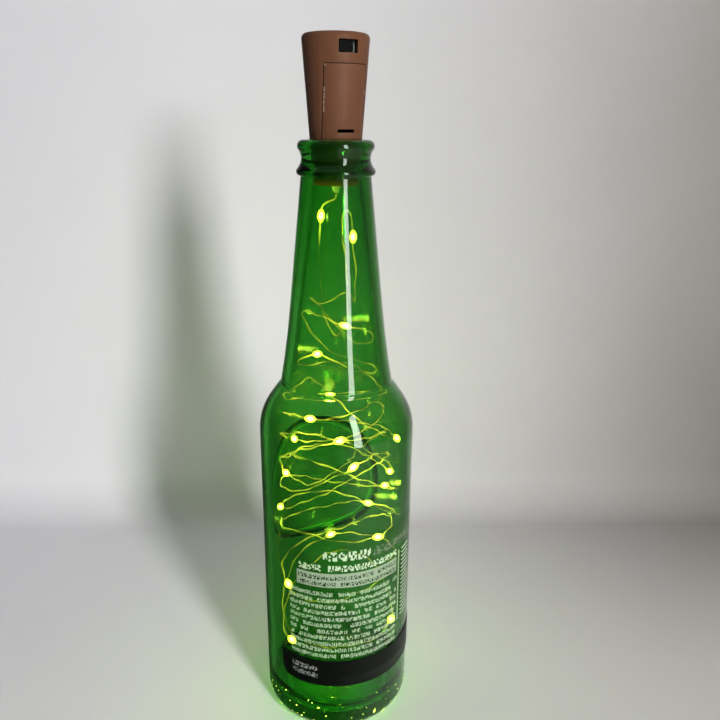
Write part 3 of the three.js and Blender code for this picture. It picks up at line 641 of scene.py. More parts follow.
def maths(tree, operation, *values):
    """The result of one Math node."""
    return node(tree, "Math", enumerate(values), operation=operation).outputs[0]


def both(tree, a, b):
    """Where two masks both hold, or one of them scaled by a number."""
    return maths(tree, "MULTIPLY", a, b)


def within(tree, value, low, high):
    """1 where a value lies between two others, else 0."""
    return both(tree, maths(tree, "GREATER_THAN", value, low), maths(tree, "LESS_THAN", value, high))


def blended(tree, share, a, b):
    """A colour between two colours."""
    return node(tree, "Mix", {0: share, 6: a, 7: b}, data_type="RGBA").outputs[2]


def eased(tree, value, low, high):
    """A value's place between two others, from 0 to 1, eased at both ends."""
    inputs = {"Value": value, "From Min": low, "From Max": high}
    return node(tree, "MapRange", inputs, interpolation_type="SMOOTHSTEP").outputs[0]


def noise(tree, where, scale, detail=4.0):
    """Noise from 0 to 1 at a place, with its scale in waves a metre."""
    made = node(tree, "TexNoise", {"Vector": where, "Scale": scale, "Detail": detail, "Roughness": 0.55})
    return made.outputs["Fac"]


def place(tree):
    """The place on the piece, in metres."""
    return node(tree, "TexCoord").outputs["Object"]


def drawn_out(tree, where, height_scale):
    """A place with its height scaled, so that a pattern there is drawn out upwards."""
    return node(tree, "Mapping", {"Vector": where, "Scale": (1, 1, height_scale)}).outputs[0]


def dot(tree, a, b):
    """The dot product of two vectors."""
    return node(tree, "VectorMath", {0: a, 1: b}, operation="DOT_PRODUCT").outputs["Value"]


def length_of(tree, vector):
    """The length of a vector."""
    return node(tree, "VectorMath", {0: vector}, operation="LENGTH").outputs["Value"]


def parted(tree, where):
    """The x, y and z of a place."""
    return node(tree, "SeparateXYZ", {0: where}).outputs


def bump(tree, height, depth):
    """A normal for relief of a given depth in metres."""
    return node(tree, "Bump", {"Height": height, "Distance": depth}).outputs[0]


def dress(tree, **values):
    """Sets or links sockets of a material's shader. A value's name is the socket's, with _ for a space."""
    shader = tree.nodes["Principled BSDF"]
    for socket, value in values.items():
        feed(tree, shader.inputs[socket.replace("_", " ")], value)


def material(name, **values):
    """A material with one Principled shader, its nodes and the shader's own output."""
    made = bpy.data.materials.new(name)
    made.use_nodes = True
    tree = made.node_tree
    dress(tree, **values)
    return made, tree, tree.nodes["Principled BSDF"].outputs[0]


def mix_surface(tree, share, first, second):
    """Makes a material's surface a mix of two shaders' outputs."""
    mixed = node(tree, "MixShader", {0: share, 1: first, 2: second})
    tree.links.new(mixed.outputs[0], tree.nodes["Material Output"].inputs["Surface"])


def green_glass():
    """Clear green bottle glass, a little wavy, which lets the lamps' light through with its colour.

    Its thick, stippled foot has a painted glow and painted glints, which stand for the string's light gathered and
    reflected in it.
    """
    made, tree, shader = material(
        "green_glass", Base_Color=GLASS_COLOUR, Roughness=0.01, IOR=1.52, Transmission_Weight=1.0
    )
    where = place(tree)
    outwards = node(tree, "VectorMath", {0: where, 1: (1, 1, 0)}, operation="MULTIPLY").outputs[0]
    facing = dot(tree, outwards, node(tree, "NewGeometry").outputs["Normal"])
    inner = maths(tree, "LESS_THAN", facing, 0.0)
    ripple = both(tree, noise(tree, where, INNER_RIPPLE_SCALE, 2), inner)
    waves = noise(tree, drawn_out(tree, where, OUTER_RIPPLE_HEIGHT_SCALE), OUTER_RIPPLE_SCALE, 1.5)
    relief = maths(tree, "MULTIPLY_ADD", ripple, INNER_RIPPLE, waves)
    dress(tree, Normal=bump(tree, relief, OUTER_RIPPLE))
    height = parted(tree, where)[2]
    # Painted light: a faint painted glow low on the heel and painted glints on the stipple near the foot, for the
    # string's light in the thick glass
    stipple = noise(tree, where, STIPPLE_SCALE, 3)
    heel = maths(tree, "GREATER_THAN", facing, HEEL_FACING)
    low = both(tree, heel, eased(tree, height, FOOT_HEIGHT, FOOT_HEIGHT / 2))
    soft = both(tree, low, both(tree, stipple, 2 * FOOT_GLOW))
    rarity = maths(tree, "MULTIPLY_ADD", height, GLINT_THINNING, GLINT_RARITY)
    sharp = maths(tree, "GREATER_THAN", noise(tree, where, GLINT_SCALE, 1), rarity)
    near_foot = both(tree, heel, maths(tree, "LESS_THAN", height, GLINT_HEIGHT))
    glint = both(tree, both(tree, sharp, maths(tree, "GREATER_THAN", stipple, STIPPLE_SHARE)), near_foot)
    dress(tree, Emission_Color=blended(tree, glint, FOOT_GLOW_COLOUR, GLINT_COLOUR))
    dress(tree, Emission_Strength=maths(tree, "MULTIPLY_ADD", glint, GLINT_GLOW, soft))
    ray = node(tree, "LightPath").outputs["Is Shadow Ray"]
    clear = node(tree, "BsdfTransparent", {"Color": GLASS_SHADOW_COLOUR})
    mix_surface(tree, ray, shader, clear.outputs[0])
    depth = node(tree, "VolumeAbsorption", {"Color": GLASS_DEPTH_COLOUR, "Density": GLASS_DENSITY})
    tree.links.new(depth.outputs[0], tree.nodes["Material Output"].inputs["Volume"])
    return made


def round_the_bottle(tree, direction):
    """Distance round the bottle from a direction, seen from outside, and height, in metres."""
    x, y, z = parted(tree, place(tree))
    turn = maths(tree, "ARCTAN2", both(tree, x, -direction), both(tree, y, direction))
    return both(tree, turn, LABEL_RADIUS), z


def print_rows(tree, across, height, layout):
    """Rows of fine random specks in place of print: each row is square cells, some of them left out."""
    left, right, low, pitch, count, size = layout
    row = maths(tree, "DIVIDE", maths(tree, "SUBTRACT", height, low), pitch)
    line = maths(tree, "FLOOR", row)
    up = maths(tree, "DIVIDE", both(tree, maths(tree, "FRACT", row), pitch), size)
    cell = maths(tree, "ADD", maths(tree, "DIVIDE", across, size), both(tree, line, ROW_SHIFT))
    drawn = chance(tree, maths(tree, "FLOOR", cell), line, PRINT_FILL)
    shown = both(tree, drawn, maths(tree, "LESS_THAN", up, 1.0))
    specks = [maths(tree, "FLOOR", both(tree, v, SPECKS_A_CELL)) for v in (cell, up)]
    speck_line = maths(tree, "MULTIPLY_ADD", line, SPECKS_A_CELL, specks[1])
    strokes = chance(tree, specks[0], speck_line, SPECK_FILL)
    apart = maths(tree, "LESS_THAN", maths(tree, "FRACT", cell), CELL_FILL)
    inside = boxed(tree, across, height, (left, right, low, low + count * pitch))
    return both(tree, both(tree, shown, strokes), both(tree, apart, inside))


def boxed(tree, across, height, edges):
    """1 inside the left, right, low and high edge of a box, else 0."""
    left, right, low, high = edges
    return both(tree, within(tree, across, left, right), within(tree, height, low, high))


def chance(tree, u, v, share):
    """1 in a random share of the cells with whole numbers u and v, else 0."""
    spot = node(tree, "CombineXYZ", {0: u, 1: v, 2: 0.0}).outputs[0]
    drawn = node(tree, "TexWhiteNoise", {"Vector": spot}, noise_dimensions="3D").outputs["Value"]
    return maths(tree, "LESS_THAN", drawn, share)


def any_of(tree, *masks):
    """The greatest of several masks."""
    most = masks[0]
    for mask in masks[1:]:
        most = maths(tree, "MAXIMUM", most, mask)
    return most


def back_label_film():
    """Clear film with rows of pale specks, a pale panel, even stripes and a plain black band."""
    made, tree, _ = material("back_label_film", Roughness=0.4, IOR=1.45, Specular_IOR_Level=0.15)
    across, height = round_the_bottle(tree, -1)
    rows, heading, faint_heading, second, panel_rows, notes = (
        print_rows(tree, across, height, layout)
        for layout in (PRINT_ROWS, HEADING_ROW, FAINT_HEADING_ROW, SECOND_ROW, PANEL_ROWS, NOTE_ROWS)
    )
    panel = boxed(tree, across, height, PANEL_EDGES)
    line = boxed(tree, across, height, LINE_EDGES)
    block = boxed(tree, across, height, BLOCK_EDGES)
    step = maths(tree, "FRACT", maths(tree, "DIVIDE", height, STRIPE_PITCH))
    stripe = maths(tree, "LESS_THAN", step, STRIPE_FILL)
    band = maths(tree, "LESS_THAN", height, BAND_TOP)
    bright = any_of(tree, heading, second, line)
    faint = both(tree, faint_heading, FAINT_COVER)
    dim = any_of(tree, faint, both(tree, panel, PANEL_COVER), both(tree, notes, NOTES_COVER))
    clear = any_of(tree, both(tree, rows, ROWS_COVER), both(tree, bright, BRIGHT_COVER))
    pale = any_of(tree, clear, dim, both(tree, block, BLOCK_COVER))
    dark = any_of(tree, both(tree, panel, panel_rows), both(tree, block, stripe))
    ink = blended(tree, any_of(tree, rows, bright, dim, block), BAND_COLOUR, PALE_INK)
    inked = blended(tree, dark, ink, DARK_INK)
    dress(tree, Base_Color=blended(tree, both(tree, band, notes), inked, NOTE_INK))
    dress(tree, Alpha=any_of(tree, pale, both(tree, band, BAND_COVER), FILM_COVER))
    return made


def front_label_film():
    """Plain green oval with a dark rim and a thin pale line inside it."""
    made, tree, _ = material("front_label_film", Roughness=0.35, IOR=1.5)
    across, height = round_the_bottle(tree, 1)
    low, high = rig.box("front_label")
    half_height = (high.z - low.z) / 2
    half_width = LABEL_RADIUS * FRONT_LABEL_HALF_ANGLE
    u = maths(tree, "DIVIDE", across, half_width)
    v = maths(tree, "DIVIDE", maths(tree, "SUBTRACT", height, (low.z + high.z) / 2), half_height)
    out = maths(tree, "SQRT", maths(tree, "ADD", both(tree, u, u), both(tree, v, v)))
    rim = maths(tree, "GREATER_THAN", out, OVAL_RIM_FROM)
    line = within(tree, out, OVAL_LINE_FROM, OVAL_LINE_TO)
    mottled = blended(tree, noise(tree, place(tree), OVAL_MOTTLE_SCALE), *OVAL_COLOURS)
    lined = blended(tree, line, mottled, OVAL_LINE_COLOUR)
    dress(tree, Base_Color=blended(tree, rim, lined, OVAL_RIM_COLOUR))
    cover = any_of(tree, both(tree, rim, OVAL_RIM_COVER), both(tree, line, OVAL_LINE_COVER), OVAL_COVER)
    dress(tree, Alpha=cover)
    return made


def brown_plastic(name, edge=None):
    """Satin moulded plastic with a fine grain and faint flow marks.

    Its parting line is painted dark, as shade in the seam, and its lower rim has a painted glow for the first
    light's light on it. It is worn along its two sides if their distance from the middle is given, as the edge.
    """
    made, tree, _ = material(name, Emission_Color=RIM_GLOW_COLOUR, Specular_IOR_Level=0.13)
    where = place(tree)
    x, y, z = parted(tree, where)
    flow = noise(tree, drawn_out(tree, where, FLOW_HEIGHT_SCALE), FLOW_SCALE, 5)
    # Painted shade: a thin dark line along the parting line, for the shade in the seam
    seam = maths(tree, "LESS_THAN", maths(tree, "ABSOLUTE", y), SEAM_SHADE)
    colour = blended(tree, seam, blended(tree, flow, *BROWN_COLOURS), SEAM_SHADE_COLOUR)
    if edge:
        foot, slope, bottom = outer_cone()
        cone = maths(tree, "MULTIPLY_ADD", z, slope, foot - slope * bottom - EDGE_WEAR)
        out = length_of(tree, node(tree, "CombineXYZ", {0: x, 1: y, 2: 0.0}).outputs[0])
        outside = maths(tree, "GREATER_THAN", out, cone)
        beside = maths(tree, "GREATER_THAN", maths(tree, "ABSOLUTE", x), edge - EDGE_WEAR)
        patch = maths(tree, "GREATER_THAN", noise(tree, where, WORN_PATCH_SCALE, 2), WORN_PATCH_SHARE)
        speck = maths(tree, "GREATER_THAN", noise(tree, where, WORN_SPECK_SCALE, 3), WORN_SPECK_SHARE)
        worn = both(tree, both(tree, outside, beside), both(tree, patch, speck))
        colour = blended(tree, worn, colour, WORN_COLOUR)
    dress(tree, Base_Color=colour)
    # Painted glow on the lower rim, for the first light's light on it
    low_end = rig.box("rear_shell")[0].z
    rim = eased(tree, z, low_end + RIM_HEIGHT, low_end)
    dress(tree, Emission_Strength=both(tree, rim, RIM_GLOW))
    grain = noise(tree, where, GRAIN_SCALE, 3)
    roughness = maths(tree, "MULTIPLY_ADD", grain, BROWN_ROUGHNESS_SPREAD, BROWN_ROUGHNESS)
    dress(tree, Roughness=roughness, Normal=bump(tree, grain, GRAIN_DEPTH))
    return made


def plain_finish(name):
    """A finish whose colour drifts between two tones, with a fine grain in its roughness and relief."""
    dark, light, grain_scale, roughness, depth, values = FINISHES[name]
    made, tree, _ = material(name, **values)
    where = place(tree)
    drift = noise(tree, where, grain_scale / DRIFT_COARSENESS)
    grain = noise(tree, where, grain_scale, 3)
    dress(tree, Base_Color=blended(tree, drift, dark, light))
    dress(tree, Roughness=maths(tree, "MULTIPLY_ADD", grain, ROUGHNESS_SPREAD, roughness))
    dress(tree, Normal=bump(tree, grain, depth))
    return made


def lit_resin():
    """Clear resin of a light's drop, lit yellow by its chip."""
    glow = {"Alpha": RESIN_ALPHA, "Emission_Strength": RESIN_GLOW}
    made, tree, _ = material("lit_resin", Roughness=0.15, IOR=1.5, **glow)
    cloud = noise(tree, place(tree), RESIN_CLOUD_SCALE, 2)
    dress(tree, Base_Color=blended(tree, cloud, *RESIN_COLOURS))
    dress(tree, Emission_Color=blended(tree, cloud, *RESIN_LIGHTS))
    return made


def lit_chip():
    """The glowing chip in a light's drop, in warm white."""
    made, tree, _ = material("lit_chip", Base_Color=CHIP_COLOUR, Roughness=0.5, Emission_Strength=CHIP_GLOW)
    cloud = noise(tree, place(tree), CHIP_CLOUD_SCALE, 2)
    dress(tree, Emission_Color=blended(tree, cloud, *CHIP_LIGHTS))
    return made


def lit_copper():
    """Lacquered copper of the string, with a painted glow in patches where its lights are near, for their light on it.
    """
    made = plain_finish("lacquered_copper")
    tree = made.node_tree
    near = node(tree, "Attribute", attribute_name="glow").outputs["Fac"]
    patchy = noise(tree, place(tree), WIRE_PATCH_SCALE, 3)
    value_and_limits = enumerate((patchy, *WIRE_PATCH_NOISE, *WIRE_PATCH_GLOW))
    glow = both(tree, near, node(tree, "MapRange", value_and_limits).outputs[0])
    dress(tree, Emission_Color=WIRE_LIGHT)
    dress(tree, Emission_Strength=both(tree, glow, WIRE_GLOW))
    return made


def camera():
    """The photograph's camera."""
    heading = CAMERA_YAW - CAMERA_AZIMUTH
    flat = math.cos(CAMERA_PITCH)
    ahead = Vector((math.sin(heading) * flat, math.cos(heading) * flat, -math.sin(CAMERA_PITCH)))
    data = bpy.data.cameras.new("camera")
    data.sensor_width = 36.0
    data.lens = CAMERA_LENS
    data.clip_start = 0.01
    level = ahead.to_track_quat("-Z", "Y")
    level.rotate(Quaternion(ahead, -CAMERA_ROLL))
    made = in_scene("camera", data)
    put(made, beside_camera(0, CAMERA_DISTANCE, CAMERA_HEIGHT), level)
    bpy.context.scene.camera = made


def glass_inside(height):
    """Radius of the bottle's inside at a height, on the CAD profile."""
    top = max(range(len(BOTTLE_PROFILE)), key=lambda i: BOTTLE_PROFILE[i][1])
    wall = BOTTLE_PROFILE[top:]
    for (r0, z0), (r1, z1) in zip(wall, wall[1:]):
        if z0 >= height >= z1 and z0 > z1:
            return r0 + (r1 - r0) * (z0 - height) / (z0 - z1)
    raise ValueError("no glass at this height")


def loop_point(turn):
    """A point of the string's loops: a tilted, wavy ring that follows the glass and sways inwards from it."""
    start = min(int(turn), len(LOOP_ROWS) - 2)
    share = turn - start
    smooth = share * share * (3 - 2 * share)
    before, after = LOOP_ROWS[start], LOOP_ROWS[start + 1]
    middle, rise, _, inset = (a + (b - a) * smooth for a, b in zip(before, after))
    high = before[2] + ((after[2] - before[2] + 540) % 360 - 180) * smooth
    angle = LOOP_START + 2 * math.pi * turn
    tilt = rise * math.cos(angle - math.radians(high))
    height = middle + tilt + LOOP_WAVE_HEIGHT * math.sin(LOOP_WAVES_PER_TURN * angle)
    sway = LOOP_SWAY / 2 * (1 - math.cos(LOOP_SWAYS_PER_TURN * angle))
    radius = glass_inside(height) - inset - sway - WIRE_DIAMETER / 2
    return Vector((radius * math.cos(angle), radius * math.sin(angle), height))


def string_line():
    """The light string's whole route, from the wire seal's tip to the last light."""
    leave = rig.box("wire_seal")[0].z - WIRE_END_GAP
    points = [Vector((x, y, leave - drop)) for x, y, drop in LEAD_POINTS]
    turns = len(LOOP_ROWS) - 1 - LOOP_END_SHORT
    points += [loop_point(i / LOOP_STEPS) for i in range(round(turns * LOOP_STEPS) + 1)]
    return kinked(smooth_line(points, ROUTE_STEPS))


def kinked(line):
    """A line with the small bends that thin wire keeps, which grow from nothing at its start."""
    along = lengths_along(line)
    guide = tube_rings(line, 1.0, 4)
    bent = []
    for s, p, ring in zip(along, line, guide):
        size = min(s / KINK_START, 1.0) * KINK_SIZE
        waves = [math.sin(2 * math.pi * s / length + phase) for length, phase in KINK_WAVES]
        a, b = waves[0] + waves[1], waves[2] + waves[3]
        bent.append(p + size * (a * (ring[0] - p) + b * (ring[1] - p)))
    return bent


def lengths_along(line):
    """Distance from the start to each point of a line."""
    along = [0.0]
    for a, b in zip(line, line[1:]):
        along.append(along[-1] + (b - a).length)
    return along


def string_at(where):
    """The point at a distance along the string, and the direction there."""
    i = min(max(bisect.bisect_right(STRING_ALONG, where) - 1, 0), len(STRING_LINE) - 2)
    start = STRING_LINE[i]
    step = STRING_LINE[i + 1] - start
    return start + step * ((where - STRING_ALONG[i]) / step.length), step.normalized()


def light_string():
    """Two lacquered strands twisted round the string's route."""
    count = round(STRING_ALONG[-1] / STRAND_STEP)
    spots = [STRING_ALONG[-1] * i / count for i in range(count + 1)]
    points = [string_at(s)[0] for s in spots]
    guide = tube_rings(points, 1.0, 4)
    strands = []
    for half_turn in (0.0, math.pi):
        strand = []
        for s, p, ring in zip(spots, points, guide):
            a = 2 * math.pi * s / STRAND_TWIST + half_turn
            strand.append(p + STRAND_OFFSET * (math.cos(a) * (ring[0] - p) + math.sin(a) * (ring[1] - p)))
        strands.append(tube_rings(strand, STRAND_RADIUS, STRAND_SIDES))
    made = mesh_piece("light_string", *tube_mesh(strands, STRAND_SIDES))
    # Strength of the wire's painted glow: how near each point lies to the lights, for their light on it
    lights = [string_at(led_middle(i + 1))[0] for i in range(LED_COUNT)]
    glow = [sum(1 / (1 + ((p - light).length / WIRE_GLOW_REACH) ** 2) for light in lights) for p in points]
    shown = made.data.attributes.new("glow", "FLOAT", "POINT")
    shown.data.foreach_set("value", [g for g in glow for k in range(STRAND_SIDES)] * len(strands))
    return made, points


def led_middle(number):
    """Distance along the string to the middle of one of its lights."""
    return (FIRST_LED_MIDDLE + (number - 1) * STEPS_PER_LED) / STRING_STEPS * STRING_ALONG[-1]


def spindle(length, radius, end_radius, swell_power):
    """Profile of a drop drawn out along Z, from its lower tip to its upper one."""
    profile = []
    for i in range(LED_RINGS + 1):
        a = math.pi * i / LED_RINGS
        swell = end_radius + (radius - end_radius) * math.sin(a) ** swell_power
        profile.append((swell if 0 < i < LED_RINGS else 0.0, -length / 2 * math.cos(a)))
    return profile


def led_drop(number):
    """One light: a chip in a drop of resin that is drawn out along the wire."""
    resin_profile = spindle(LED_LENGTH, LED_RADIUS, LED_END_RADIUS, LED_SWELL)
    drop = lathe(f"lit_drop_{number:02d}", resin_profile, LED_SEGMENTS)
    chip = lathe("chip", spindle(CHIP_LENGTH, CHIP_RADIUS, 0.0, CHIP_SWELL), LED_SEGMENTS)
    form = bmesh.new()
    form.from_mesh(drop.data)
    resin_faces = len(form.faces)
    form.from_mesh(chip.data)
    form.faces.ensure_lookup_table()
    for face in form.faces[resin_faces:]:
        face.material_index = 1
    form.to_mesh(drop.data)
    form.free()
    bpy.data.meshes.remove(chip.data)
    spot, along = string_at(led_middle(number))
    put(drop, spot, along.to_track_quat("Z", "Y"))
    return drop


def rounded(profile, radius):
    """A profile with its corners eased by a radius."""
    points = [Vector(p) for p in profile]
    line = [points[0]]
    for before, here, after in zip(points, points[1:], points[2:]):
        back, on = before - here, after - here
        cut = min(radius, back.length / 2, on.length / 2)
        first, last = here + back.normalized() * cut, here + on.normalized() * cut
        for i in range(CORNER_STEPS + 1):
            t = i / CORNER_STEPS
            line.append(first * (1 - t) ** 2 + here * 2 * t * (1 - t) + last * t * t)
    return [(p.x, p.y) for p in [*line, points[-1]]]


def held_straight(points, reach):
    """Points with two more near the ends of each long stretch, so that a smooth line stays straight there."""
    line = [Vector(points[0])]
    for a, b in zip(points, points[1:]):
        step = Vector(b) - Vector(a)
        if step.length > 4 * reach:
            line += [Vector(a) + step.normalized() * reach, Vector(b) - step.normalized() * reach]
        line.append(Vector(b))
    return line


def bottle_glass():
    """The bottle turned from its CAD profile, with the facets of its curves smoothed away."""
    line = smooth_line(held_straight(BOTTLE_PROFILE, STRAIGHT_REACH), PROFILE_STEPS)
    return lathe("bottle_glass", [(max(p.x, 0.0), p.y) for p in line], BOTTLE_SEGMENTS)


def curved_film(name, node_name, half_angle, edges, direction):
    """A closed thin film bent round the bottle, with its lower and upper edge at each share of its width."""
    radii = [math.hypot(v.co.x, v.co.y) for v in NODES[node_name].data.vertices]
    columns = []
    for i in range(FILM_COLUMNS + 1):
        share = -math.cos(math.pi * (i + 0.5) / (FILM_COLUMNS + 1))
        x, y = -direction * math.sin(share * half_angle), direction * math.cos(share * half_angle)
        low, high = edges(share)
        heights = [low + (high - low) * j / FILM_ROWS for j in range(FILM_ROWS + 1)]
        ring = [(min(radii), z) for z in heights] + [(max(radii), z) for z in reversed(heights)]
        columns.append([(r * x, r * y, z) for r, z in ring])
    return mesh_piece(name, *tube_mesh([columns], len(columns[0])))


def half_angle_of(node_name, direction):
    """Half the angle that a label takes up round the bottle."""
    spots = [v.co for v in NODES[node_name].data.vertices]
    return max(abs(math.atan2(-direction * p.x, direction * p.y)) for p in spots)


def back_film():
    """The back label, with its two lower corners rounded."""
    low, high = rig.box("back_label")
    half = LABEL_RADIUS * BACK_LABEL_HALF_ANGLE

    def edges(share):
        into = max(abs(share) * half - (half - BACK_LABEL_CORNER), 0.0)
        lift = BACK_LABEL_CORNER - math.sqrt(BACK_LABEL_CORNER ** 2 - into ** 2)
        return low.z + lift, high.z

    return curved_film("back_label_film", "back_label", BACK_LABEL_HALF_ANGLE, edges, -1)


def front_film():
    """The front label, an oval."""
    low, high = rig.box("front_label")
    middle, half = (low.z + high.z) / 2, (high.z - low.z) / 2

    def edges(share):
        tall = half * math.sqrt(max(1 - share ** 2, 0.0))
        return middle - tall, middle + tall

    return curved_film("front_label_film", "front_label", FRONT_LABEL_HALF_ANGLE, edges, 1)


def outer_cone():
    """The stopper's outside: its radius at the bottom, how that grows upwards, and the bottom's height."""
    spots = [(math.hypot(v.co.x, v.co.y), v.co.z) for v in NODES["rear_shell"].data.vertices]
    bottom = min(z for r, z in spots)
    foot = max(r for r, z in spots if z < bottom + SAME_POINT)
    widest = max(spots)
    return foot, (widest[0] - foot) / (widest[1] - bottom), bottom


def refined(name, node_name, ease=0.0, outside_only=False):
    """A copy of a CAD node with its edges eased and its round faces shaded smooth."""
    form = bmesh.new()
    form.from_mesh(NODES[node_name].data)
    bmesh.ops.remove_doubles(form, verts=form.verts, dist=SAME_POINT)
    bmesh.ops.dissolve_limit(form, angle_limit=FLAT_ANGLE, verts=form.verts, edges=form.edges)
    foot, slope, bottom = outer_cone()

    def outside(vert):
        return math.hypot(vert.co.x, vert.co.y) > foot + slope * (vert.co.z - bottom) - OUTSIDE_TOLERANCE

    def on_seam(edge):
        return outside_only and all(abs(v.co.y) < SEAM_REACH for v in edge.verts)

    for seam, offset in ((False, ease), (True, SEAM_EASE)):
        sharp = [e for e in form.edges if e.is_manifold and e.calc_face_angle() > SHARP_ANGLE]
        shown = [e for e in sharp if not outside_only or all(outside(v) for v in e.verts)]
        edges = [e for e in shown if on_seam(e) == seam]
        if edges and offset:
            shape = {"offset": offset, "segments": EASE_SEGMENTS, "profile": EASE_PROFILE}
            bmesh.ops.bevel(form, geom=edges, affect="EDGES", clamp_overlap=True, **shape)
    for face in form.faces:
        face.smooth = True
    for edge in form.edges:
        edge.smooth = edge.is_manifold and edge.calc_face_angle() < SHARP_ANGLE
    mesh = bpy.data.meshes.new(name)
    form.to_mesh(mesh)
    form.free()
    return in_scene(name, mesh)


def turned_again(name, node_name, ease):
    """A round CAD node turned again with more facets and eased corners."""
    low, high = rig.box(node_name)
    piece = lathe(name, rounded(meridian(node_name), ease), ROUND_SEGMENTS)
    piece.data.transform(Matrix.Translation(((low.x + high.x) / 2, (low.y + high.y) / 2, 0)))
    return piece


def spring_coil():
    """The conical contact spring as one smooth wire."""
    low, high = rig.box("contact_spring")
    wire = SPRING_WIRE_RADIUS
    foot = high.x - wire
    rise = high.z - low.z - 2 * wire
    points = []
    for i in range(SPRING_TURNS * SPRING_STEPS + 1):
        share = i / (SPRING_TURNS * SPRING_STEPS)
        a = 2 * math.pi * SPRING_TURNS * share
        r = foot + (SPRING_TOP_RADIUS - foot) * share
        points.append(Vector((r * math.cos(a), r * math.sin(a), low.z + wire + rise * share)))
    return mesh_piece("spring_coil", *tube_mesh([tube_rings(points, wire, SPRING_SIDES)], SPRING_SIDES))


def lamp(name, spot, aim, power, size, colour):
    """A soft box lamp that faces a height on the bottle's axis."""
    data = bpy.data.lights.new(name, "AREA")
    data.shape = "RECTANGLE"
    data.size, data.size_y = size
    data.energy = power
    data.color = colour
    made = in_scene(name, data)
    put(made, spot, (Vector((0, 0, aim)) - spot).to_track_quat("-Z", "Y"))
    made.visible_camera = False
    made.visible_glossy = False


def beside_camera(turn_degrees, distance, height):
    """A spot round the bottle, its direction given from the camera's, to the right."""
    a = CAMERA_AZIMUTH + math.radians(turn_degrees)
    return Vector((distance * math.sin(a), -distance * math.cos(a), height))


def seen_directly(tree):
    """1 where the camera sees a surface, also through glass, else 0."""
    ray = node(tree, "LightPath").outputs
    return any_of(tree, ray["Is Camera Ray"], ray["Is Transmission Ray"])


def backdrop():
    """A sheet of paper that lies flat and sweeps up behind the bottle.

    Its back is clear for views from there, and far off it turns into the pale background.
    """
    half = FLOOR_SIZE / 2
    corners = [(-half, -half, 0), (half, -half, 0), (half, half, 0), (-half, half, 0)]
    flat = mesh_piece("floor", corners, [(0, 1, 2, 3)])
    back = beside_camera(180, 1, 0)
    side = Vector((back.y, -back.x, 0))
    profile = [(WALL_BEHIND, WALL_HEIGHT)]
    for i in range(SWEEP_STEPS + 1):
        a = math.pi / 2 * i / SWEEP_STEPS
        out = SWEEP_RADIUS * (1 - math.cos(a))
        profile.append((WALL_BEHIND - out, SWEEP_RADIUS * (1 - math.sin(a)) + WALL_LIFT))
    verts, faces = [], []
    for i, (distance, height) in enumerate(reversed(profile)):
        middle = back * distance + Vector((0, 0, height))
        verts += [middle - side * WALL_WIDTH / 2, middle + side * WALL_WIDTH / 2]
        if i:
            faces.append((2 * i - 2, 2 * i - 1, 2 * i + 1, 2 * i))
    wall = mesh_piece("wall", verts, faces)
    finish = backdrop_paper(side, back)
    for sheet in (flat, wall):
        sheet.data.materials.append(finish)
        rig.stage(sheet)


def backdrop_paper(side, back):
    """Matt paper with painted shade of the room's light: it darkens to one side, towards the back and up the wall,
    with faint clouds, and its flat part is darker than its upright part.
    """
    finish, tree, shader = material("backdrop_paper", Roughness=0.9, Specular_IOR_Level=0.1)
    where = place(tree)
    # Painted shade: the paper darkens to one side, towards the back and up the wall, as the room's light falls off
    dim = eased(tree, dot(tree, where, side), DIM_FROM, DIM_TO)
    height = parted(tree, where)[2]
    upright = eased(tree, height, 0.0, SWEEP_RADIUS)
    wall_lit = blended(tree, eased(tree, height, 0.0, WALL_TOP), WALL_COLOUR, WALL_TOP_SHADE_COLOUR)
    lit = blended(tree, upright, FLOOR_COLOUR, wall_lit)
    far = eased(tree, dot(tree, where, back), FLOOR_DIM_FROM, WALL_BEHIND)
    unlit = blended(tree, far, FLOOR_DIM_COLOUR, WALL_DIM_COLOUR)
    level = maths(tree, "SUBTRACT", dim, CLOUD_STRENGTH / 2)
    clouds = maths(tree, "MULTIPLY_ADD", noise(tree, where, CLOUD_SCALE), CLOUD_STRENGTH, level)
    dress(tree, Base_Color=blended(tree, clouds, lit, unlit))
    behind = node(tree, "NewGeometry").outputs["Backfacing"]
    clear = node(tree, "BsdfTransparent")
    distant = both(tree, eased(tree, length_of(tree, where), HAZE_FROM, HAZE_TO), seen_directly(tree))
    haze = node(tree, "Emission", {"Color": BACKGROUND_COLOUR})
    faded = node(tree, "MixShader", {0: distant, 1: shader, 2: haze.outputs[0]})
    mix_surface(tree, behind, faded.outputs[0], clear.outputs[0])
    return finish


def card():
    """A dark card on the camera's side, which only gloss shows.

    It is flat near the bottle and upright beyond. It reaches round to the left, in front of the wall, and
    fades out at both ends.
    """
    verts, faces, fades = [], [], []
    for i in range(CARD_COLUMNS + 1):
        turn = CARD_FROM + (CARD_TO - CARD_FROM) * i / CARD_COLUMNS
        behind = -math.cos(math.radians(turn))
        far = CARD_DISTANCE
        if behind > 0:
            far = min(far, (WALL_BEHIND - SWEEP_RADIUS) / behind)
        column = [
            beside_camera(turn, CARD_NEAR, CARD_LIFT),
            beside_camera(turn, far, CARD_LIFT),
            beside_camera(turn, far, CARD_HEIGHT),
        ]
        verts += column
        left_fade = 1 - (turn - CARD_FROM) / CARD_FADE_LEFT
        right_fade = 1 - (CARD_TO - turn) / CARD_FADE_RIGHT
        fades += [max(0.0, left_fade, right_fade)] * len(column)
        if i:
            a = len(column) * i
            faces += [(a - 3, a - 2, a + 1, a), (a - 2, a - 1, a + 2, a + 1)]
    made = mesh_piece("dark_card", verts, faces)
    made.data.attributes.new("fade", "FLOAT", "POINT").data.foreach_set("value", fades)
    finish, tree, shader = material("dark_card", Base_Color=CARD_COLOUR, Roughness=0.9)
    faded = node(tree, "Attribute", attribute_name="fade").outputs["Fac"]
    mix_surface(tree, faded, shader, node(tree, "BsdfTransparent").outputs[0])
    made.data.materials.append(finish)
    seen_in_gloss(made)


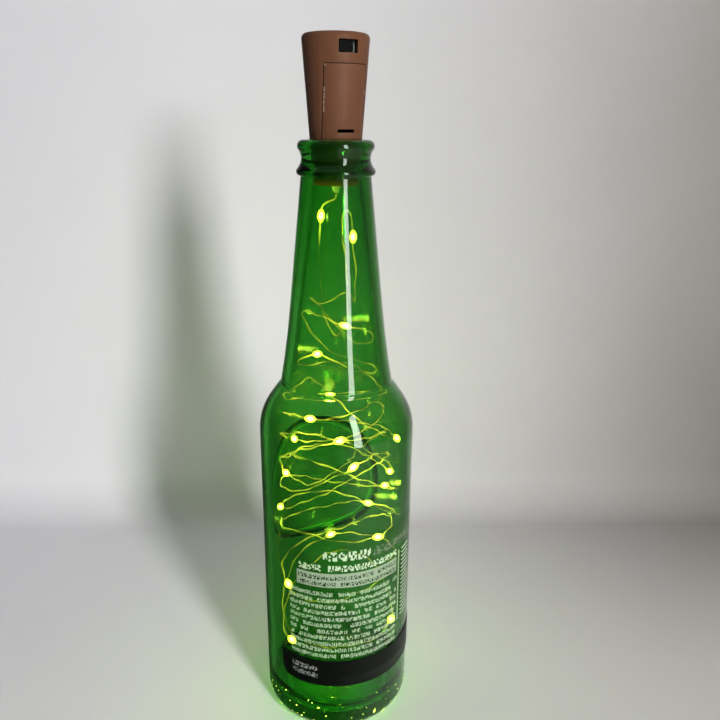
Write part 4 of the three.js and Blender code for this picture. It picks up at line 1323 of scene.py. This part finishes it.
def window():
    """The window that the key lamp stands for, which only gloss shows."""
    middle = beside_camera(WINDOW_TURN, WINDOW_DISTANCE, 0)
    side = Vector((-middle.y, middle.x, 0)).normalized() * WINDOW_WIDTH / 2
    up = Vector((0, 0, WINDOW_HEIGHT))
    corners = [middle - side, middle + side, middle + side + up, middle - side + up]
    made = mesh_piece("window", corners, [(0, 1, 2, 3)])
    finish = material("window_light", Emission_Color=WINDOW_COLOUR, Emission_Strength=WINDOW_GLOW)[0]
    made.data.materials.append(finish)
    seen_in_gloss(made)


def seen_in_gloss(sheet):
    """Makes a sheet of the stage show in reflections alone."""
    sheet.visible_camera = False
    sheet.visible_diffuse = False
    sheet.visible_transmission = False
    sheet.visible_shadow = False
    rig.stage(sheet)


def world():
    """Even light from all round, with a pale background where the camera sees it, also through glass."""
    made = bpy.data.worlds.new("world")
    bpy.context.scene.world = made
    made.use_nodes = True
    tree = made.node_tree
    light = tree.nodes["Background"]
    feed(tree, light.inputs["Color"], FILL_COLOUR)
    feed(tree, light.inputs["Strength"], FILL_STRENGTH)
    seen = node(tree, "Background", {"Color": BACKGROUND_COLOUR})
    mixed = node(tree, "MixShader", {0: seen_directly(tree), 1: light.outputs[0], 2: seen.outputs[0]})
    tree.links.new(mixed.outputs[0], tree.nodes["World Output"].inputs["Surface"])


# The bottle, its labels and the string's route come from the CAD solids
BOTTLE_PROFILE = meridian("bottle")
BACK_LABEL_HALF_ANGLE = half_angle_of("back_label", -1)
FRONT_LABEL_HALF_ANGLE = half_angle_of("front_label", 1)
LABEL_RADIUS = math.hypot(*NODES["back_label"].data.vertices[0].co.xy)
STRING_LINE = string_line()
STRING_ALONG = lengths_along(STRING_LINE)

camera()
backdrop()
card()
window()
world()
lamp("key", beside_camera(WINDOW_TURN, WINDOW_DISTANCE, KEY_HEIGHT), KEY_AIM, KEY_POWER, KEY_SIZE, KEY_COLOUR)
lamp("top", beside_camera(180, TOP_BEHIND, TOP_HEIGHT), 0.0, TOP_POWER, TOP_SIZE, TOP_COLOUR)

drops = [led_drop(i + 1) for i in range(LED_COUNT)]
resin_and_chip = (lit_resin(), lit_chip())
for i, drop in enumerate(drops):
    node_name = f"led_bead_{i + 1:02d}"
    settle(drop, resin_and_chip, node_name)
    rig.ride(drop, BODY_OF[node_name])

string, string_points = light_string()
settle(string, (lit_copper(),), "wire_lead", "wire_loops")
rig.blend(string, "bottle", "stopper", start=(0, 0, 0.177), end=(0, 0, 0.199))
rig.cord(
    string,
    exit=string_points[0],
    length=STRING_ALONG[-1],
    diameter=WIRE_DIAMETER,
    far_end="fitting",
    stiffness="stiff",
    lay="loose",
    path=string_points,
    with_pieces=drops,
)

pieces = {
    "bottle": (bottle_glass(), green_glass()),
    "back_label": (back_film(), back_label_film()),
    "front_label": (front_film(), front_label_film()),
}

# The stopper
housing = brown_plastic("brown_plastic")
door_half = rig.box("battery_door")[1].x
steel = plain_finish("nickel_plate")
black = plain_finish("black_plastic")
pieces |= {
    "front_shell": (refined("stopper_front", "front_shell", EDGE_EASE, True), housing),
    "rear_shell": (refined("stopper_rear", "rear_shell", EDGE_EASE, True), housing),
    "battery_door": (
        refined("stopper_door", "battery_door", EDGE_EASE, True),
        brown_plastic("worn_brown_plastic", door_half),
    ),
    "switch_slider": (refined("switch_knob", "switch_slider", KNOB_EASE), black),
    "switch_body": (refined("switch_case", "switch_body", INSIDE_EASE), plain_finish("dark_plate")),
    "circuit_board": (refined("board", "circuit_board", INSIDE_EASE), plain_finish("board_laminate")),
    "resistor": (refined("board_resistor", "resistor", INSIDE_EASE), black),
    "negative_contact": (refined("negative_strip", "negative_contact", STRIP_EASE), steel),
    "positive_contact": (refined("positive_strip", "positive_contact", STRIP_EASE), steel),
    "feed_wire": (refined("feed_lead", "feed_wire"), plain_finish("plain_copper")),
    "wire_seal": (turned_again("seal_plug", "wire_seal", SEAL_EASE), plain_finish("seal_rubber")),
    "contact_spring": (spring_coil(), steel),
}
for i in range(CELL_COUNT):
    cell = f"battery_cell_{i + 1}"
    pieces[cell] = (turned_again(f"button_cell_{i + 1}", cell, CELL_EASE), steel)
for node_name, (piece, finish) in pieces.items():
    settle(piece, (finish,), node_name)
    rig.ride(piece, BODY_OF[node_name])

bpy.context.scene.view_settings.view_transform = "Standard"
bpy.context.view_layer.update()
with open("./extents.json", "w") as out:
    json.dump({"cad": [list(v) for v in CAD_BOX], "visual": [list(v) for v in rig.bounds()]}, out)
